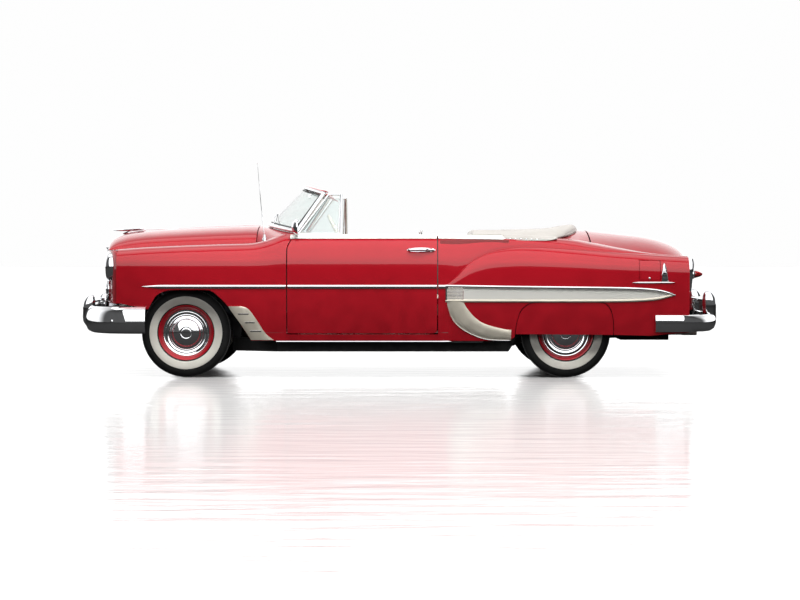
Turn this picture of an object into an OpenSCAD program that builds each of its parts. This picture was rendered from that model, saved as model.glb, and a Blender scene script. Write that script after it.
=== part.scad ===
// Full-size two-door convertible of the early 1950s, in millimetres.
// +X points to the rear of the car, +Y to its right side, +Z up; the wheels stand on Z = 0.

/* [Overall] */
// Distance between the axles
wheelbase = 2921; // [2700:1:3150]
// Front axle to the tip of the front bumper
front_overhang = 851; // [800:1:950]
// Rear axle to the tip of the rear bumper
rear_overhang = 1216; // [1150:1:1350]
// Width over the rear fenders
body_w = 1905; // [1750:1:2150]
// How far the doors and front fenders lie inside the rear fenders, each side
door_inset = 36; // [20:1:60]
// Height of the widest line along the sides
waist_z = 870; // [850:1:890]
// Height of the lower edge of sills, fenders and quarters
sill_z = 287; // [270:1:300]

/* [Wheels] */
// Distance between the front tyre centres
track_front = 1440; // [1380:1:1480]
// Distance between the rear tyre centres
track_rear = 1492; // [1440:1:1520]
// Tyre outside diameter
tyre_d = 690; // [650:1:715]
// Tyre section width
tyre_w = 168; // [140:1:180]
// Rim seat diameter under the tyre
rim_d = 424; // [380:1:440]
// Hubcap diameter
cap_d = 246; // [200:1:270]
// Offset of the steering axis inside the front tyre centre
king_offset = 80; // [70:1:95]

/* [Panels] */
// Thickness of the pressed panels with their inner bracing
panel_t = 14; // [8:1:20]
// Thickness of a door below the belt
door_t = 105; // [80:1:120]
// Width of the gaps round doors and lids
gap = 8; // [7:1:10]
// Thickness of the hood and the trunk lid
lid_t = 22; // [15:1:30]
// Height of the lower edge of the doors
door_low_z = 343; // [335:1:360]
// Half width of the hood at its seam with the fenders
hood_half_w = 558; // [520:1:590]
// Half width of the trunk lid
trunk_half_w = 600; // [560:1:640]

/* [Glass] */
// Glass thickness
glass_t = 6; // [5:1:8]
// Radius of the windshield frame tube
screen_r = 17; // [13:1:20]

/* [Chassis] */
// Height of the frame side rails
rail_h = 105; // [90:1:120]
// Width of the frame side rails
rail_w = 75; // [60:1:90]
// Underside of the frame side rails
rail_z = 190; // [180:1:200]
// Top of the floor pan
floor_z = 345; // [340:1:355]
// Thickness of floor, firewall and bulkheads
floor_t = 18; // [12:1:22]
// Radius of the rear axle tubes
axle_r = 38; // [30:1:45]

/* [Interior] */
// Steering wheel diameter
wheel_rim_d = 432; // [400:1:450]
// Thickness of the steering wheel rim
wheel_rim_t = 22; // [18:1:28]
// Steering column diameter
column_d = 44; // [36:1:52]
// Half width of the seats
seat_half_w = 640; // [560:1:660]

/* [Fittings] */
// Headlamp lens diameter
lamp_d = 180; // [170:1:190]
// Outside radius of the tail pipe
pipe_r = 25; // [20:1:28]
// Spacing of the licence plate holes
plate_holes = 178; // [150:1:200]
// Radius of the licence plate holes
plate_hole_r = 3.5; // [3:0.5:4]

/* [Hidden] */

hw = body_w / 2;
side_w = hw - door_inset;
length = front_overhang + wheelbase + rear_overhang;
fx = front_overhang - length / 2;
rx = fx + wheelbase;
axle_z = tyre_d / 2;
nose_x = fx - 685;
fender_x = fx - 528;
hinge_line = fx + 781;
lock_line = rx - 986;
tail_x = rx + 939;
lid_front = rx + 207;
hood_rear = fx + 525;
belt_z = 1097;
top_z = 1400;
far = 3000;
arch_r = tyre_d / 2 + 60;
hinge_x = hinge_line + gap / 2 + 13;
hinge_y = side_w - 8;
pivot_y = track_front / 2 - king_offset;
column_tilt = 27.9;
helm = [fx + 1179, -380, 1070];
fuel_x = [rx + 550, rx + 714];
fuel_z = [751, 903];
skin = 0.4;
front_rail_y = 385;
mid_rail_y = 560;
tunnel = [115, 455];
floor_half = side_w - tuck(sill_z) - 111;

// ---------------------------------------------------------------- curves

function ramp(v, lo, hi) = let (s = min(max((v - lo) / (hi - lo), 0), 1)) s * s * (3 - 2 * s);
function mix(a, b, s) = a + (b - a) * s;
function span(x, t, i = 0) = i >= len(t) - 2 || x < t[i + 1][0] ? i : span(x, t, i + 1);
function slope(t, i) =
    let (a = max(i - 1, 0), b = min(i + 1, len(t) - 1)) (t[b][1] - t[a][1]) / (t[b][0] - t[a][0]);
// Value at x of a smooth curve through the points [x, value]
function curve(x, t) =
    let (i = span(x, t), a = t[i], b = t[i + 1], w = b[0] - a[0],
         s = min(max((x - a[0]) / w, 0), 1), r = 1 - s)
    a[1] * (1 + 2 * s) * r * r + slope(t, i) * w * s * r * r
    + b[1] * s * s * (3 - 2 * s) - slope(t, i + 1) * w * s * s * r;
function steps(a, b, n) = [for (i = [0 : n]) a + (b - a) * i / n];

// Body side: half width at a height, along the doors
function tuck(z) =
    z < waist_z ? 0.00016 * pow(waist_z - z, 2) : 150 * (1 - sqrt(1 - pow((z - waist_z) / 235, 2)));
function door_y(z) = side_w - tuck(z);
function door_in(z) = door_y(z) - mix(door_t, 46, ramp(z, waist_z, belt_z - 30));

// Shut line at the front of the doors, which leans back near the belt
function shut_x(z) = hinge_line + 67 * pow(max(z - 985, 0) / 120, 1.6);

// Front fender: section points [y, z] from the sill to the hood seam
function front_w(x) = side_w + 1 - curve(x, [[fx - 560, 62], [fx - 250, 22], [fx + 150, 4], [fx + 781, 1]]);
function crown_z(x) = curve(x, [[fx - 560, 988], [fx - 300, 1006], [fx + 150, 1024], [fx + 600, 1036]]);
function fender_top(x) =
    let (w = front_w(x), c = crown_z(x) - waist_z)
    [for (p = [[7, 0.30], [27, 0.58], [60, 0.80], [110, 0.94], [190, 1], [w - hood_half_w - gap, 0.985]])
        [w - p[0], waist_z + c * p[1]]];
function door_top() = [for (z = [915, 965, 1008, 1045, 1075, belt_z]) [door_y(z), z]];
function front_section(x) =
    let (w = front_w(x), g = ramp(x, hood_rear - 60, hinge_line))
    concat([for (z = [sill_z, 420, 560, 700, 800, waist_z]) [w - tuck(z), z]],
           [for (i = [0 : 5]) mix(fender_top(x)[i], door_top()[i], g)]);

// Rear quarter: upper body with the fender standing out of it
function upper_w(x) = side_w + 1 - curve(x, [[lock_line, 1], [rx - 400, 12], [rx, 36], [rx + 500, 72],
    [tail_x, 112]]);
function quarter_w(x) = hw - curve(x, [[rx - 903, door_inset + 1], [rx - 800, 14], [rx - 600, 4],
    [rx - 200, 0],
                                       [rx + 300, 0], [rx + 650, 8], [tail_x, 36]]);
function crest_z(x) = curve(x, [[rx - 990, 690], [rx - 903, 725], [rx - 750, 878], [rx - 604, 959],
    [rx - 414, 998],
                                [rx - 239, 1003], [rx + 53, 988], [rx + 343, 966], [rx + 607, 951],
                                [tail_x, 929]]);
function edge_y(x) =
    max(trunk_half_w + gap, curve(x, [[lock_line, door_y(belt_z)], [rx - 485, 795], [rx - 178, 765],
        [rx + 72, 690], [rx + 227, trunk_half_w + gap], [tail_x, trunk_half_w + gap]]));
function edge_z(x) = curve(x, [[lock_line, belt_z], [rx - 485, 1090], [rx - 178, 1078], [rx + 72, 1062],
                               [rx + 227, 1040], [rx + 422, 1003], [rx + 656, 962], [tail_x, 934]]);
function swell(f) = f < 0.6 ? 1 : sqrt(max(0, 1 - pow((f - 0.6) / 0.4, 2)));
function upper_y(x, z) = upper_w(x) - tuck(min(z, 1100));
function quarter_section(x) =
    let (c = crest_z(x), b = max(0, quarter_w(x) - upper_w(x)), v = upper_y(x, c + 3),
         e = [edge_y(x), edge_z(x)], g = ramp(x, lock_line, lock_line + 500))
    concat([for (z = [sill_z, 420, 540]) [upper_y(x, z) + b, z]],
           [for (f = [0, 0.3, 0.5, 0.65, 0.78, 0.88, 0.95, 1])
               let (z = mix(620, c, f)) [upper_y(x, z) + b * swell(f), z]],
           [for (a = [3, 14, 30, 50, 70, 90])
               let (z = c + 3 + (e[1] - c - 3) * (a < 4 ? 0.02 : sin(a)))
               [mix(upper_y(x, z), e[0] + (v - e[0]) * cos(a < 4 ? 0 : a), a < 90 ? g : 1), z]]);

// ---------------------------------------------------------------- solids from curves

function inward(s, j, t) =
    let (a = s[max(j - 1, 0)], b = s[min(j + 1, len(s) - 1)], d = b - a, n = norm(d))
    [s[j][0] - t * d[1] / n, s[j][1] + t * d[0] / n];
function inset_section(s, t) = [for (j = [0 : len(s) - 1]) inward(s, j, t)];

function flipped(faces, turn) = turn ? [for (f = faces) [for (k = [len(f) - 1 : -1 : 0]) f[k]]] : faces;
function total(v, i = 0) = i == len(v) - 1 ? v[i] : v[i] + total(v, i + 1);

// Closed solid between two grids of points with the same rows and columns
module slab(outer, inner) {
    m = len(outer);
    n = len(outer[0]);
    k = m * n;
    function o(i, j) = i * n + j;
    function q(a, b, c, d) = [[a, b, c], [a, c, d]];
    points = concat([for (r = outer) for (p = r) p], [for (r = inner) for (p = r) p]);
    faces = concat(
        [for (i = [0 : m - 2]) for (j = [0 : n - 2]) for (f = q(o(i, j), o(i, j + 1), o(i + 1, j + 1),
        o(i + 1, j))) f],
        [for (i = [0 : m - 2]) for (j = [0 : n - 2])
            for (f = q(k + o(i, j), k + o(i + 1, j), k + o(i + 1, j + 1), k + o(i, j + 1))) f],
        [for (i = [0 : m - 2]) for (f = q(o(i, 0), o(i + 1, 0), k + o(i + 1, 0), k + o(i, 0))) f],
        [for (i = [0 : m - 2])
            for (f = q(o(i + 1, n - 1), o(i, n - 1), k + o(i, n - 1), k + o(i + 1, n - 1))) f],
        [for (j = [0 : n - 2]) for (f = q(o(0, j + 1), o(0, j), k + o(0, j), k + o(0, j + 1))) f],
        [for (j = [0 : n - 2])
            for (f = q(o(m - 1, j), o(m - 1, j + 1), k + o(m - 1, j + 1), k + o(m - 1, j))) f]);
    i = floor((m - 1) / 2);
    j = floor((n - 1) / 2);
    turn = cross(outer[i][j + 1] - outer[i][j], outer[i + 1][j] - outer[i][j]) * (outer[i][j]
        - inner[i][j]) > 0;
    polyhedron(points, flipped(faces, turn), convexity = 10);
}

// Solid through rings of points, closed by a flat cap at each end
module loft(rings) {
    m = len(rings);
    n = len(rings[0]);
    faces = concat(
        [[for (j = [0 : n - 1]) j]],
        [for (i = [0 : m - 2]) for (j = [0 : n - 1])
            for (f = [[i * n + j, (i + 1) * n + j, (i + 1) * n + (j + 1) % n],
                      [i * n + j, (i + 1) * n + (j + 1) % n, i * n + (j + 1) % n]]) f],
        [[for (j = [n - 1 : -1 : 0]) (m - 1) * n + j]]);
    c = total(rings[0]) / n;
    area = total([for (j = [0 : n - 1]) cross(rings[0][j] - c, rings[0][(j + 1) % n] - c)]);
    turn = area * (total(rings[1]) / n - c) < 0;
    polyhedron([for (r = rings) for (p = r) p], flipped(faces, turn), convexity = 10);
}

function unit(v) = v / max(norm(v), 0.0001);
function along(p, i) = unit(p[min(i + 1, len(p) - 1)] - p[max(i - 1, 0)]);

// Tube along a path: radius r across, times flat in the up direction
module rod(path, r, sides = 10, flat = 1) {
    loft([for (i = [0 : len(path) - 1])
        let (t = along(path, i), s = unit(cross(t, abs(t[2]) > 0.9 ? [1, 0, 0] : [0, 0, 1])),
            u = cross(s, t))
        [for (k = [0 : sides - 1]) path[i] + r * (cos(360 * k / sides) * s + flat * sin(360
        * k / sides) * u)]]);
}

// Keeps what lies inside an outline drawn in the side view
module side_cut(outline) {
    resize([0, 0, 0]) intersection() {
        union() children();
        rotate([90, 0, 0]) linear_extrude(2 * far, center = true) polygon(outline);
    }
}

module side_hole(outline) {
    rotate([90, 0, 0]) linear_extrude(2 * far, center = true) polygon(outline);
}

module both() {
    children();
    mirror([0, 1, 0]) children();
}

module box(lo, hi) translate(lo) cube(hi - lo);

module across(r, y0, y1, at, fn = 40) {
    translate([at[0], y0, at[1]]) rotate([-90, 0, 0]) cylinder(r = r, h = y1 - y0, $fn = fn);
}

// ---------------------------------------------------------------- outlines in the side view

function arch_front() = [for (p = [[-282, 528], [-224, 626], [-136, 670], [-58, 677], [175, 676],
                                   [234, 650], [292, 596], [341, 538], [428, 412], [508, sill_z - 1]])
                            [fx + p[0], p[1]]];
function fender_outline() = concat(
    [[nose_x - 50, 600], [fender_x + 40, 570]], arch_front(),
    [for (z = [sill_z, 500, 800, 985, 1020, 1050, 1080, 1110, 1140]) [shut_x(z) - gap / 2, z]],
    [[nose_x - 50, 1140]]);
function skirt_line() = [for (p = [[-392, 339], [-372, 457], [-345, 521], [-292, 564], [-228, 579],
                                   [261, 578], [302, 554], [336, 504], [352, 438], [357, 333]])
                            [rx + p[0], p[1]]];
function grown(line, d) = [for (p = line) [p[0] + (p[0] < rx ? -d : d), p[1] + (p[1] > 500 ? d : 0)]];
function quarter_outline() = concat(
    [[lock_line + gap / 2, sill_z], [rx - 440, sill_z], [rx - 398, sill_z + 30]],
    grown(skirt_line(), 5),
    [[rx + 640, 326], [tail_x, 350], [tail_x, 1200], [lock_line + gap / 2, 1200]]);
function door_outline() = concat(
    [for (z = [door_low_z, 500, 800, 985, 1020, 1050, 1080, belt_z + 20]) [shut_x(z) + gap / 2, z]],
    [[lock_line - gap / 2, belt_z + 20], [lock_line - gap / 2, door_low_z + 26],
     [lock_line - gap / 2 - 8, door_low_z + 8], [lock_line - gap / 2 - 28, door_low_z]]);

// ---------------------------------------------------------------- body panels

module front_fender() {
    xs = concat(steps(fender_x, fx - 180, 5), steps(fx - 100, hood_rear - 60, 8),
        steps(hood_rear + 20, hinge_line + 70, 5));
    secs = [for (x = xs) front_section(x)];
    side_cut(fender_outline()) slab(
        [for (i = [0 : len(xs) - 1]) [for (p = secs[i]) [xs[i], p[0], p[1]]]],
        [for (i = [0 : len(xs) - 1]) [for (p = inset_section(secs[i], panel_t)) [xs[i], p[0], p[1]]]]);
}

module quarter_shell(x0, x1, n, t) {
    xs = concat(steps(x0, min(rx - 600, x1), n), steps(max(rx - 520, x0 + 1), x1, n));
    secs = [for (x = xs) quarter_section(x)];
    slab([for (i = [0 : len(xs) - 1]) [for (p = secs[i]) [xs[i], p[0], p[1]]]],
         [for (i = [0 : len(xs) - 1]) [for (p = inset_section(secs[i], t)) [xs[i],
         max(p[0], edge_y(xs[i])), p[1]]]]);
}

module rear_quarter() {
    side_cut(quarter_outline()) quarter_shell(lock_line, tail_x, 11, panel_t);
}

module skirts() {
    both() side_cut(skirt_line()) quarter_shell(rx - 450, rx + 420, 4, panel_t);
}

module door_skin() {
    zs = concat([door_low_z - 10, 480, 620, 760], [waist_z, 920, 965, 1005, 1040, 1070, belt_z]);
    xs = [hinge_line - 10, hinge_line + 60, mix(hinge_line, lock_line, 0.5), lock_line + 10];
    slab([for (x = xs) [for (z = zs) [x, door_y(z), z]]], [for (x = xs) [for (z = zs) [x, door_in(z), z]]]);
}

module door() {
    reach = norm([lock_line - gap / 2 - hinge_x, 20]);
    resize([0, 0, 0]) intersection() {
        door_skin();
        side_hole(door_outline());
        translate([hinge_x, hinge_y, 0]) cylinder(r = reach, h = top_z, $fn = 240);
    }
}

module sill_beams() {
    zs = [sill_z, door_low_z - gap];
    both() slab([for (x = [hinge_line - gap / 2 + skin, lock_line + gap / 2 - skin]) [for (z = zs) [x,
        door_y(z), z]]],
                [for (x = [hinge_line - gap / 2 + skin, lock_line + gap / 2 - skin]) [for (z = zs) [x,
                door_y(z) - 110, z]]]);
}

// Hood: half-ellipse sections on a centre line
hood_line = [[hood_rear, 1178], [fx + 437, 1178], [fx + 200, 1170], [fx - 48, 1158], [fx - 250, 1146],
    [fx - 403, 1134],
             [fx - 530, 1116], [fx - 613, 1090], [fx - 652, 1062], [fx - 672, 1034], [nose_x, 990]];
function plan_nose(y) = 157 * pow(abs(y) / 900, 2);
function hood_edge_z(x) = min(crown_z(x) - 4, 1034);
function hood_row(p, t) =
    let (f = ramp(p[0], fx - 420, nose_x), zs = mix(hood_edge_z(p[0]), 982, f), h = p[1] - zs,
        w = hood_half_w - t)
    [for (a = steps(-90, 90, 14))
        let (y = w * sin(a)) [p[0] + plan_nose(y) * ramp(-p[0], -(fx - 300), -nose_x) + t * f, y,
                              zs + max(h - t, 2) * pow(cos(a), 0.9)]];
module bonnet() {
    rows = [for (i = [len(hood_line) - 1 : -1 : 0]) hood_line[i]];
    slab([for (p = rows) hood_row(p, 0)], [for (p = rows) hood_row(p, lid_t)]);
}

module cowl_panel() {
    // Top surface from behind the hood to the foot of the windshield
    function foot(a) = screen_point(a, 0) + [10, 0, -screen_r - 3];
    function front(a) = [hood_rear + gap, hood_half_w * sin(a * 90), 1034 + 144 * pow(cos(a * 90), 0.9)];
    function fender_edge(x) = let (p = front_section(x)) p[len(p) - 1];
    function edge(s) =
        let (x = mix(front(1)[0], foot(1)[0], s), p = fender_edge(min(x, hinge_line - gap)))
        [0, min(p[0] - 7, hw - 202), mix(p[1], foot(1)[2], ramp(x, hinge_line - gap, foot(1)[0]))]
        - [0, mix(front(1)[1], foot(1)[1], s), mix(front(1)[2], foot(1)[2], s)];
    function row(s, t) = [for (a = steps(-1, 1, 14))
        let (e = edge(s), w = pow(abs(a), 5)) mix(front(a), foot(a), s) + w * [0, sign(a) * e[1],
            e[2]] - [0, 0, t]];
    slab([for (s = steps(0, 1, 8)) row(s, 0)], [for (s = steps(0, 1, 8)) row(s, panel_t)]);
}

// Trunk lid and deck: rows [centre x, centre z, edge x, edge z]
lid_rows = [[rx + 214, 1139, rx + 214, edge_z(rx + 214) + 2], [rx + 340, 1126, rx + 340, edge_z(rx + 340)],
            [rx + 500, 1108, rx + 500, edge_z(rx + 500)], [rx + 670, 1087, rx + 670, edge_z(rx + 670)],
            [rx + 800, 1058, rx + 800, edge_z(rx + 800)], [rx + 900, 1020, rx + 880, edge_z(rx + 880)],
            [rx + 960, 978, rx + 925, 925], [rx + 990, 930, rx + 950, 880], [rx + 1005, 860, rx + 962, 820],
            [rx + 1010, 760, rx + 968, 740], [rx + 1010, 650, rx + 968, 650]];
function lid_row(r, w, tx, tz) = [for (a = steps(-1, 1, 12))
    [mix(r[0], r[2], a * a) - tx, w * a, mix(r[1], r[3], pow(abs(a), 2.2)) - tz]];
function lid_drop(i) = i < 4 ? [0, lid_t] : i > 8 ? [lid_t, 0] : [lid_t * (i - 3) / 6, lid_t * (9 - i) / 6];
module trunk() {
    slab([for (r = lid_rows) lid_row(r, trunk_half_w, 0, 0)],
         [for (i = [0 : len(lid_rows) - 1]) lid_row(lid_rows[i], trunk_half_w, lid_drop(i)[0],
         lid_drop(i)[1])]);
}

deck_front = rx + 116;
function tail_plan(y) = rx + 1012 - 78 * pow(abs(y) / 800, 2);
module tail() {
    // Deck strip between the top well and the trunk lid
    function deck(x, t) = [for (a = steps(-1, 1, 12))
        [x, (edge_y(x) - 1.3 * gap) * a, mix(1147 - (x - deck_front) * 0.09, edge_z(x),
        pow(abs(a), 2.2)) - t]];
    slab([for (x = [deck_front, rx + 160, lid_front - gap / 2]) deck(x, 0)],
         [for (x = [deck_front, rx + 160, lid_front - gap / 2]) deck(x, panel_t)]);
    // Panel below and beside the lid
    function side_limit(z) = upper_y(tail_x, z) + (quarter_w(tail_x) - upper_w(tail_x))
        * swell((z - 620) / (crest_z(tail_x) - 620)) - panel_t - 5 - 26 * ramp(z, 790, 900);
    function plate(z, t) = [for (y = steps(-side_limit(z), side_limit(z), 16)) [tail_plan(y) - t, y, z]];
    zs = [906, 890, 870, 830, 790, 640, 560, 462];
    resize([0, 0, 0]) difference() {
        slab([for (z = zs) plate(z, 0)], [for (z = zs) plate(z, panel_t)]);
        box([rx + 700, -trunk_half_w - gap, 650 - gap], [rx + 1100, trunk_half_w + gap, 1200]);
    }
}

// ---------------------------------------------------------------- front end

function front_plate(y, z, t) = [nose_x + plan_nose(y) + t, y, z];
module front_slab(z0, z1, y1, t0, t1) {
    zs = [z1, mix(z0, z1, 0.5), z0];
    slab([for (z = zs) [for (y = steps(y1, -y1, 18)) front_plate(y, z, t0)]],
         [for (z = zs) [for (y = steps(y1, -y1, 18)) front_plate(y, z, t1)]]);
}
module front_outline(h) rotate([90, 0, 90]) translate([0, 0, nose_x - 100]) linear_extrude(h) children();
grille_z = [585, 765];
lamp_y = 690;
lamp_z = 854;
module grille_opening(d) offset(d) hull() {
    for (y = [-1, 1]) translate([y * 560, (grille_z[0] + grille_z[1]) / 2]) circle(d = grille_z[1]
        - grille_z[0], $fn = 24);
}
module nose() {
    resize([0, 0, 0]) difference() {
        front_slab(570, 974, front_w(fender_x) - 30, 0, panel_t);
        front_outline(500) grille_opening(0);
        front_outline(500) for (y = [-lamp_y, lamp_y]) translate([y, lamp_z]) circle(d = lamp_d + 52,
            $fn = 36);
    }
    // Baffle that closes the nose down to the bumper
    box([fx - 560, -560, 500], [fx - 545, 560, 569]);
    box([fx - 590, -560, 569 - 12], [fx - 560, 560, 569]);
}

module grille_bars() {
    resize([0, 0, 0]) intersection() {
        front_slab(560, 790, 700, -18, 30);
        front_outline(500) {
            difference() {
                grille_opening(-3);
                grille_opening(-20);
            }
            translate([0, (grille_z[0] + grille_z[1]) / 2]) square([1180, 34], center = true);
            for (k = [-2 : 2]) translate([k * 190, (grille_z[0] + grille_z[1]) / 2]) square([44, 150],
                center = true);
        }
    }
}

module lamps() {
    for (y = [-lamp_y, lamp_y]) translate([0, y, lamp_z]) rotate([0, -90, 0]) translate([0, 0,
        -(nose_x + plan_nose(lamp_y))]) {
        difference() {
            union() {
                translate([0, 0, 12]) cylinder(d1 = lamp_d + 44, d2 = lamp_d + 16, h = 16, $fn = 48);
                translate([0, 0, -40]) cylinder(d = lamp_d + 44, h = 52, $fn = 48);
                translate([0, 0, -90]) cylinder(d = lamp_d, h = 100, $fn = 48);
            }
            translate([0, 0, 20]) cylinder(d = lamp_d - 4, h = 20, $fn = 48);
        }
        translate([0, 0, 20]) cylinder(d1 = lamp_d - 5, d2 = lamp_d - 60, h = 12, $fn = 48);
    }
}

module rear_lamps() {
    both() translate([tail_plan(730) + skin, 770, 0]) {
        hull() {
            translate([0, 0, 690]) rotate([0, 90, 0]) cylinder(r = 30, h = 22, $fn = 24);
            translate([0, 0, 885]) rotate([0, 90, 0]) cylinder(r = 40, h = 38, $fn = 24);
        }
        translate([30, 0, 795]) rotate([0, 90, 0]) cylinder(r1 = 32, r2 = 8, h = 76, $fn = 24);
    }
}

// Bumper blades: a section [outward, z] carried round a rounded plan line
function plan_line(tip, end, half, a, e) =
    [end + (tip - end) * pow(max(cos(a), 0), e), half * sign(sin(a)) * pow(abs(sin(a)), e), 0];
module blade(tip, end, half, section, slim = 1, e = 0.72) {
    path = [for (a = steps(-90, 90, 26)) plan_line(tip, end, half, a, e)];
    sgn = tip < end ? 1 : -1;
    loft([for (i = [0 : len(path) - 1])
        let (t = along(path, i), n = [-t[1], t[0], 0] * sgn, k = mix(1, slim, ramp(abs(i - 13), 9, 12)))
        [for (p = section) path[i] + k * p[0] * n + [0, 0, p[1]]]]);
}
bumper_w = hw - 6;
front_blade = [[-52, 340], [-22, 356], [-5, 392], [0, 428], [-6, 480], [-20, 520], [-48, 545], [-60, 540],
    [-34, 515],
               [-20, 478], [-14, 428], [-20, 394], [-34, 366], [-58, 352]];
rear_blade = [[-44, 355], [-16, 375], [-3, 405], [0, 430], [-5, 455], [-22, 478], [-44, 485], [-54, 478],
    [-30, 468],
              [-18, 450], [-14, 430], [-17, 408], [-28, 384], [-54, 366]];

module guard(x0, x1, z0, z1, z2, w) {
    // Upright over-rider: leaning block with rounded top
    rotate([90, 0, 0]) linear_extrude(w, center = true)
        offset(14) offset(-14) polygon([[x0, z0], [x1, z0], [x1, z2], [mix(x0, x1, 0.35), z2], [x0, z1]]);
}

module bumper_front() {
    tip = fx - front_overhang;
    resize([0, 0, 0]) union() {
        blade(tip, fx - 300, bumper_w, front_blade);
        for (y = [-400, 400]) translate([0, y, 0]) guard(tip - 0, tip + 96, 380, 560, 628, 76);
        both() box([tip + 40, front_rail_y + rail_w / 2, 395],
            [fx - 560, front_rail_y + rail_w / 2 + 38, 455]);
        box([tip + 30, -400, 560], [tip + 62, 400, 596]);
    }
}

module bumper_rear() {
    tip = rx + rear_overhang;
    resize([0, 0, 0]) union() {
        blade(tip, rx + 676, bumper_w, rear_blade, 0.3, 0.55);
        for (y = [-400, 400]) translate([0, y, 0]) mirror([1, 0, 0]) guard(-tip, -tip + 110, 368, 600,
            658, 80);
        both() box([rx + 880, mid_rail_y + rail_w / 2, 375], [tip - 78, mid_rail_y + rail_w / 2 + 38, 420]);
        box([tip - 96, -400, 575], [tip - 60, 400, 606]);
    }
    // Plate carrier between the guards
    difference() {
        box([tip - 52, -160, 488], [tip - 46, 160, 574]);
        for (y = [-plate_holes / 2, plate_holes / 2])
            translate([tip - 60, y, 548]) rotate([0, 90, 0]) cylinder(r = plate_hole_r, h = 30, $fn = 24);
    }
    box([tip - 70, -150, 562], [tip - 52, 150, 574]);
}

// ---------------------------------------------------------------- windshield

// Point on the screen surface: a runs -1 to 1 across, h 0 to 1 from foot to header
function screen_point(a, h) =
    let (bend = pow(abs(a), 2.4), drop = a * a,
         foot = [fx + 600 + 255 * bend, (hw - 212) * a, 1186 - 60 * drop],
         head = [fx + 888 + 168 * bend, (hw - 332) * a, 1481 - 60 * drop])
    mix(foot, head, h);
module screen_frame() {
    resize([0, 0, 0]) union() {
        rod([for (a = steps(-1, 1, 16)) screen_point(a, 0)], screen_r, 8);
        rod([for (a = steps(-1, 1, 16)) screen_point(a, 1)], screen_r + 3, 8);
        for (a = [-1, 1]) rod([for (h = steps(0, 1, 3)) screen_point(a, h)], screen_r, 8);
    }
}
module screen_glass() {
    margin = 0.955;
    function row(h, t) = [for (a = steps(-margin, margin, 14)) screen_point(a, h) + [t, 0, 0]];
    hs = steps(0.075, 0.925, 4);
    slab([for (h = hs) row(h, -glass_t / 2)], [for (h = hs) row(h, glass_t / 2)]);
}

// Vent window: post and frame that stand on the door beside the pillar
function vent_point(s, h) =
    let (foot = [mix(fx + 861, fx + 1193, s), hw - 172, belt_z + 4],
        head = [mix(fx + 1094, fx + 1193, s), hw - 300, 1412])
    mix(foot, head, h);
module vent() {
    resize([0, 0, 0]) union() {
        rod([vent_point(1, 0), vent_point(1, 0.5), vent_point(1, 1)], 11, 8);
        rod([vent_point(0, 0.0), vent_point(0, 0.5), vent_point(0, 1)], 8, 8);
        rod([vent_point(0, 1), vent_point(0.5, 1), vent_point(1, 1)], 8, 8);
        rod([vent_point(0, 0.02), vent_point(1, 0.02)], 8, 8);
        slab([for (h = [0.02, 0.99]) [for (s = [0.02, 0.98]) vent_point(s, h) + [0, glass_t / 2, 0]]],
             [for (h = [0.02, 0.99]) [for (s = [0.02, 0.98]) vent_point(s, h) - [0, glass_t / 2, 0]]]);
    }
}

module mirror_head() {
    at = [fx + 850, -(hw - 110), belt_z + 61];
    translate(at) rotate([0, 90, 0]) translate([0, 0, -14]) cylinder(r1 = 50, r2 = 62, h = 28, $fn = 40);
    translate([fx + 860, -(hw - 154), belt_z + skin]) cylinder(r = 7, h = 28, $fn = 20);
}

// ---------------------------------------------------------------- interior

module bench(x0, x1, z0, z1, xb, zt, w) {
    // Cushion and leaning back of a bench seat
    difference() {
        rotate([90, 0, 0]) linear_extrude(2 * w, center = true) offset(35) offset(-35)
            polygon([[x0, z0], [x1, z0], [x1, z1 - 20], [x0, z1]]);
        box([x0 - 10, -far, z0 - 10], [x0 + 60, far, z0 + 70]);
        box([x0 - 10, -tunnel[0] - floor_t - gap, z0 - 10], [x1 + 10, tunnel[0] + floor_t + gap,
            tunnel[1] + floor_t + gap]);
    }
    difference() {
        rotate([90, 0, 0]) linear_extrude(2 * w, center = true) offset(30) offset(-30)
            polygon([[x1 + 2, z0], [xb, z0], [xb + 40, zt], [x1 + 60, zt], [x1 + 2, z1]]);
        box([x1 - 10, -tunnel[0] - floor_t - gap, z0 - 10], [xb + 10, tunnel[0] + floor_t + gap,
            tunnel[1] + floor_t + gap]);
    }
}

module seat_front() {
    x1 = lock_line - 430;
    bench(x1 - 480, x1, floor_z + 4, 640, x1 + 130, 1068, seat_half_w);
}
module seat_rear() {
    x1 = rx - 800;
    bench(x1 - 400, x1, floor_z + 4, 610, x1 + 110, 1076, seat_half_w - 30);
}

module dash() {
    difference() {
        rotate([90, 0, 0]) linear_extrude(2 * (hw - 312), center = true) offset(20) offset(-20)
            polygon([[fx + 800, 1044], [fx + 780, 900], [fx + 830, 850], [fx + 935, 860], [fx + 960, 960],
                [fx + 935, 1066]]);
        column_axis() cylinder(r = column_d / 2 + 6, h = 1200, center = true, $fn = 40);
        // Hollow back
        box([fx + 770, -(hw - 340), 830], [fx + 900, hw - 340, 1034]);
    }
}

module column_axis() translate(helm) rotate([0, 90 - column_tilt, 0]) children();
module column() {
    resize([0, 0, 0]) intersection() {
        column_axis() translate([0, 0, -(far + 34)]) cylinder(d = column_d, h = far, $fn = 32);
        box([fx + 501, -600, 300], [fx + 1300, 0, 1200]);
    }
}
module helm_wheel() {
    column_axis() {
        rotate_extrude($fn = 64) translate([wheel_rim_d / 2 - wheel_rim_t / 2, 0]) circle(d = wheel_rim_t,
            $fn = 16);
        translate([0, 0, -32]) cylinder(r = 34, h = 44, $fn = 32);
        for (a = [20, 160, 270]) rotate([0, 0, a]) translate([wheel_rim_d / 4, 0, -2])
            cube([wheel_rim_d / 2 - 20, 20, 10], center = true);
    }
}

// ---------------------------------------------------------------- tub

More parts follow.
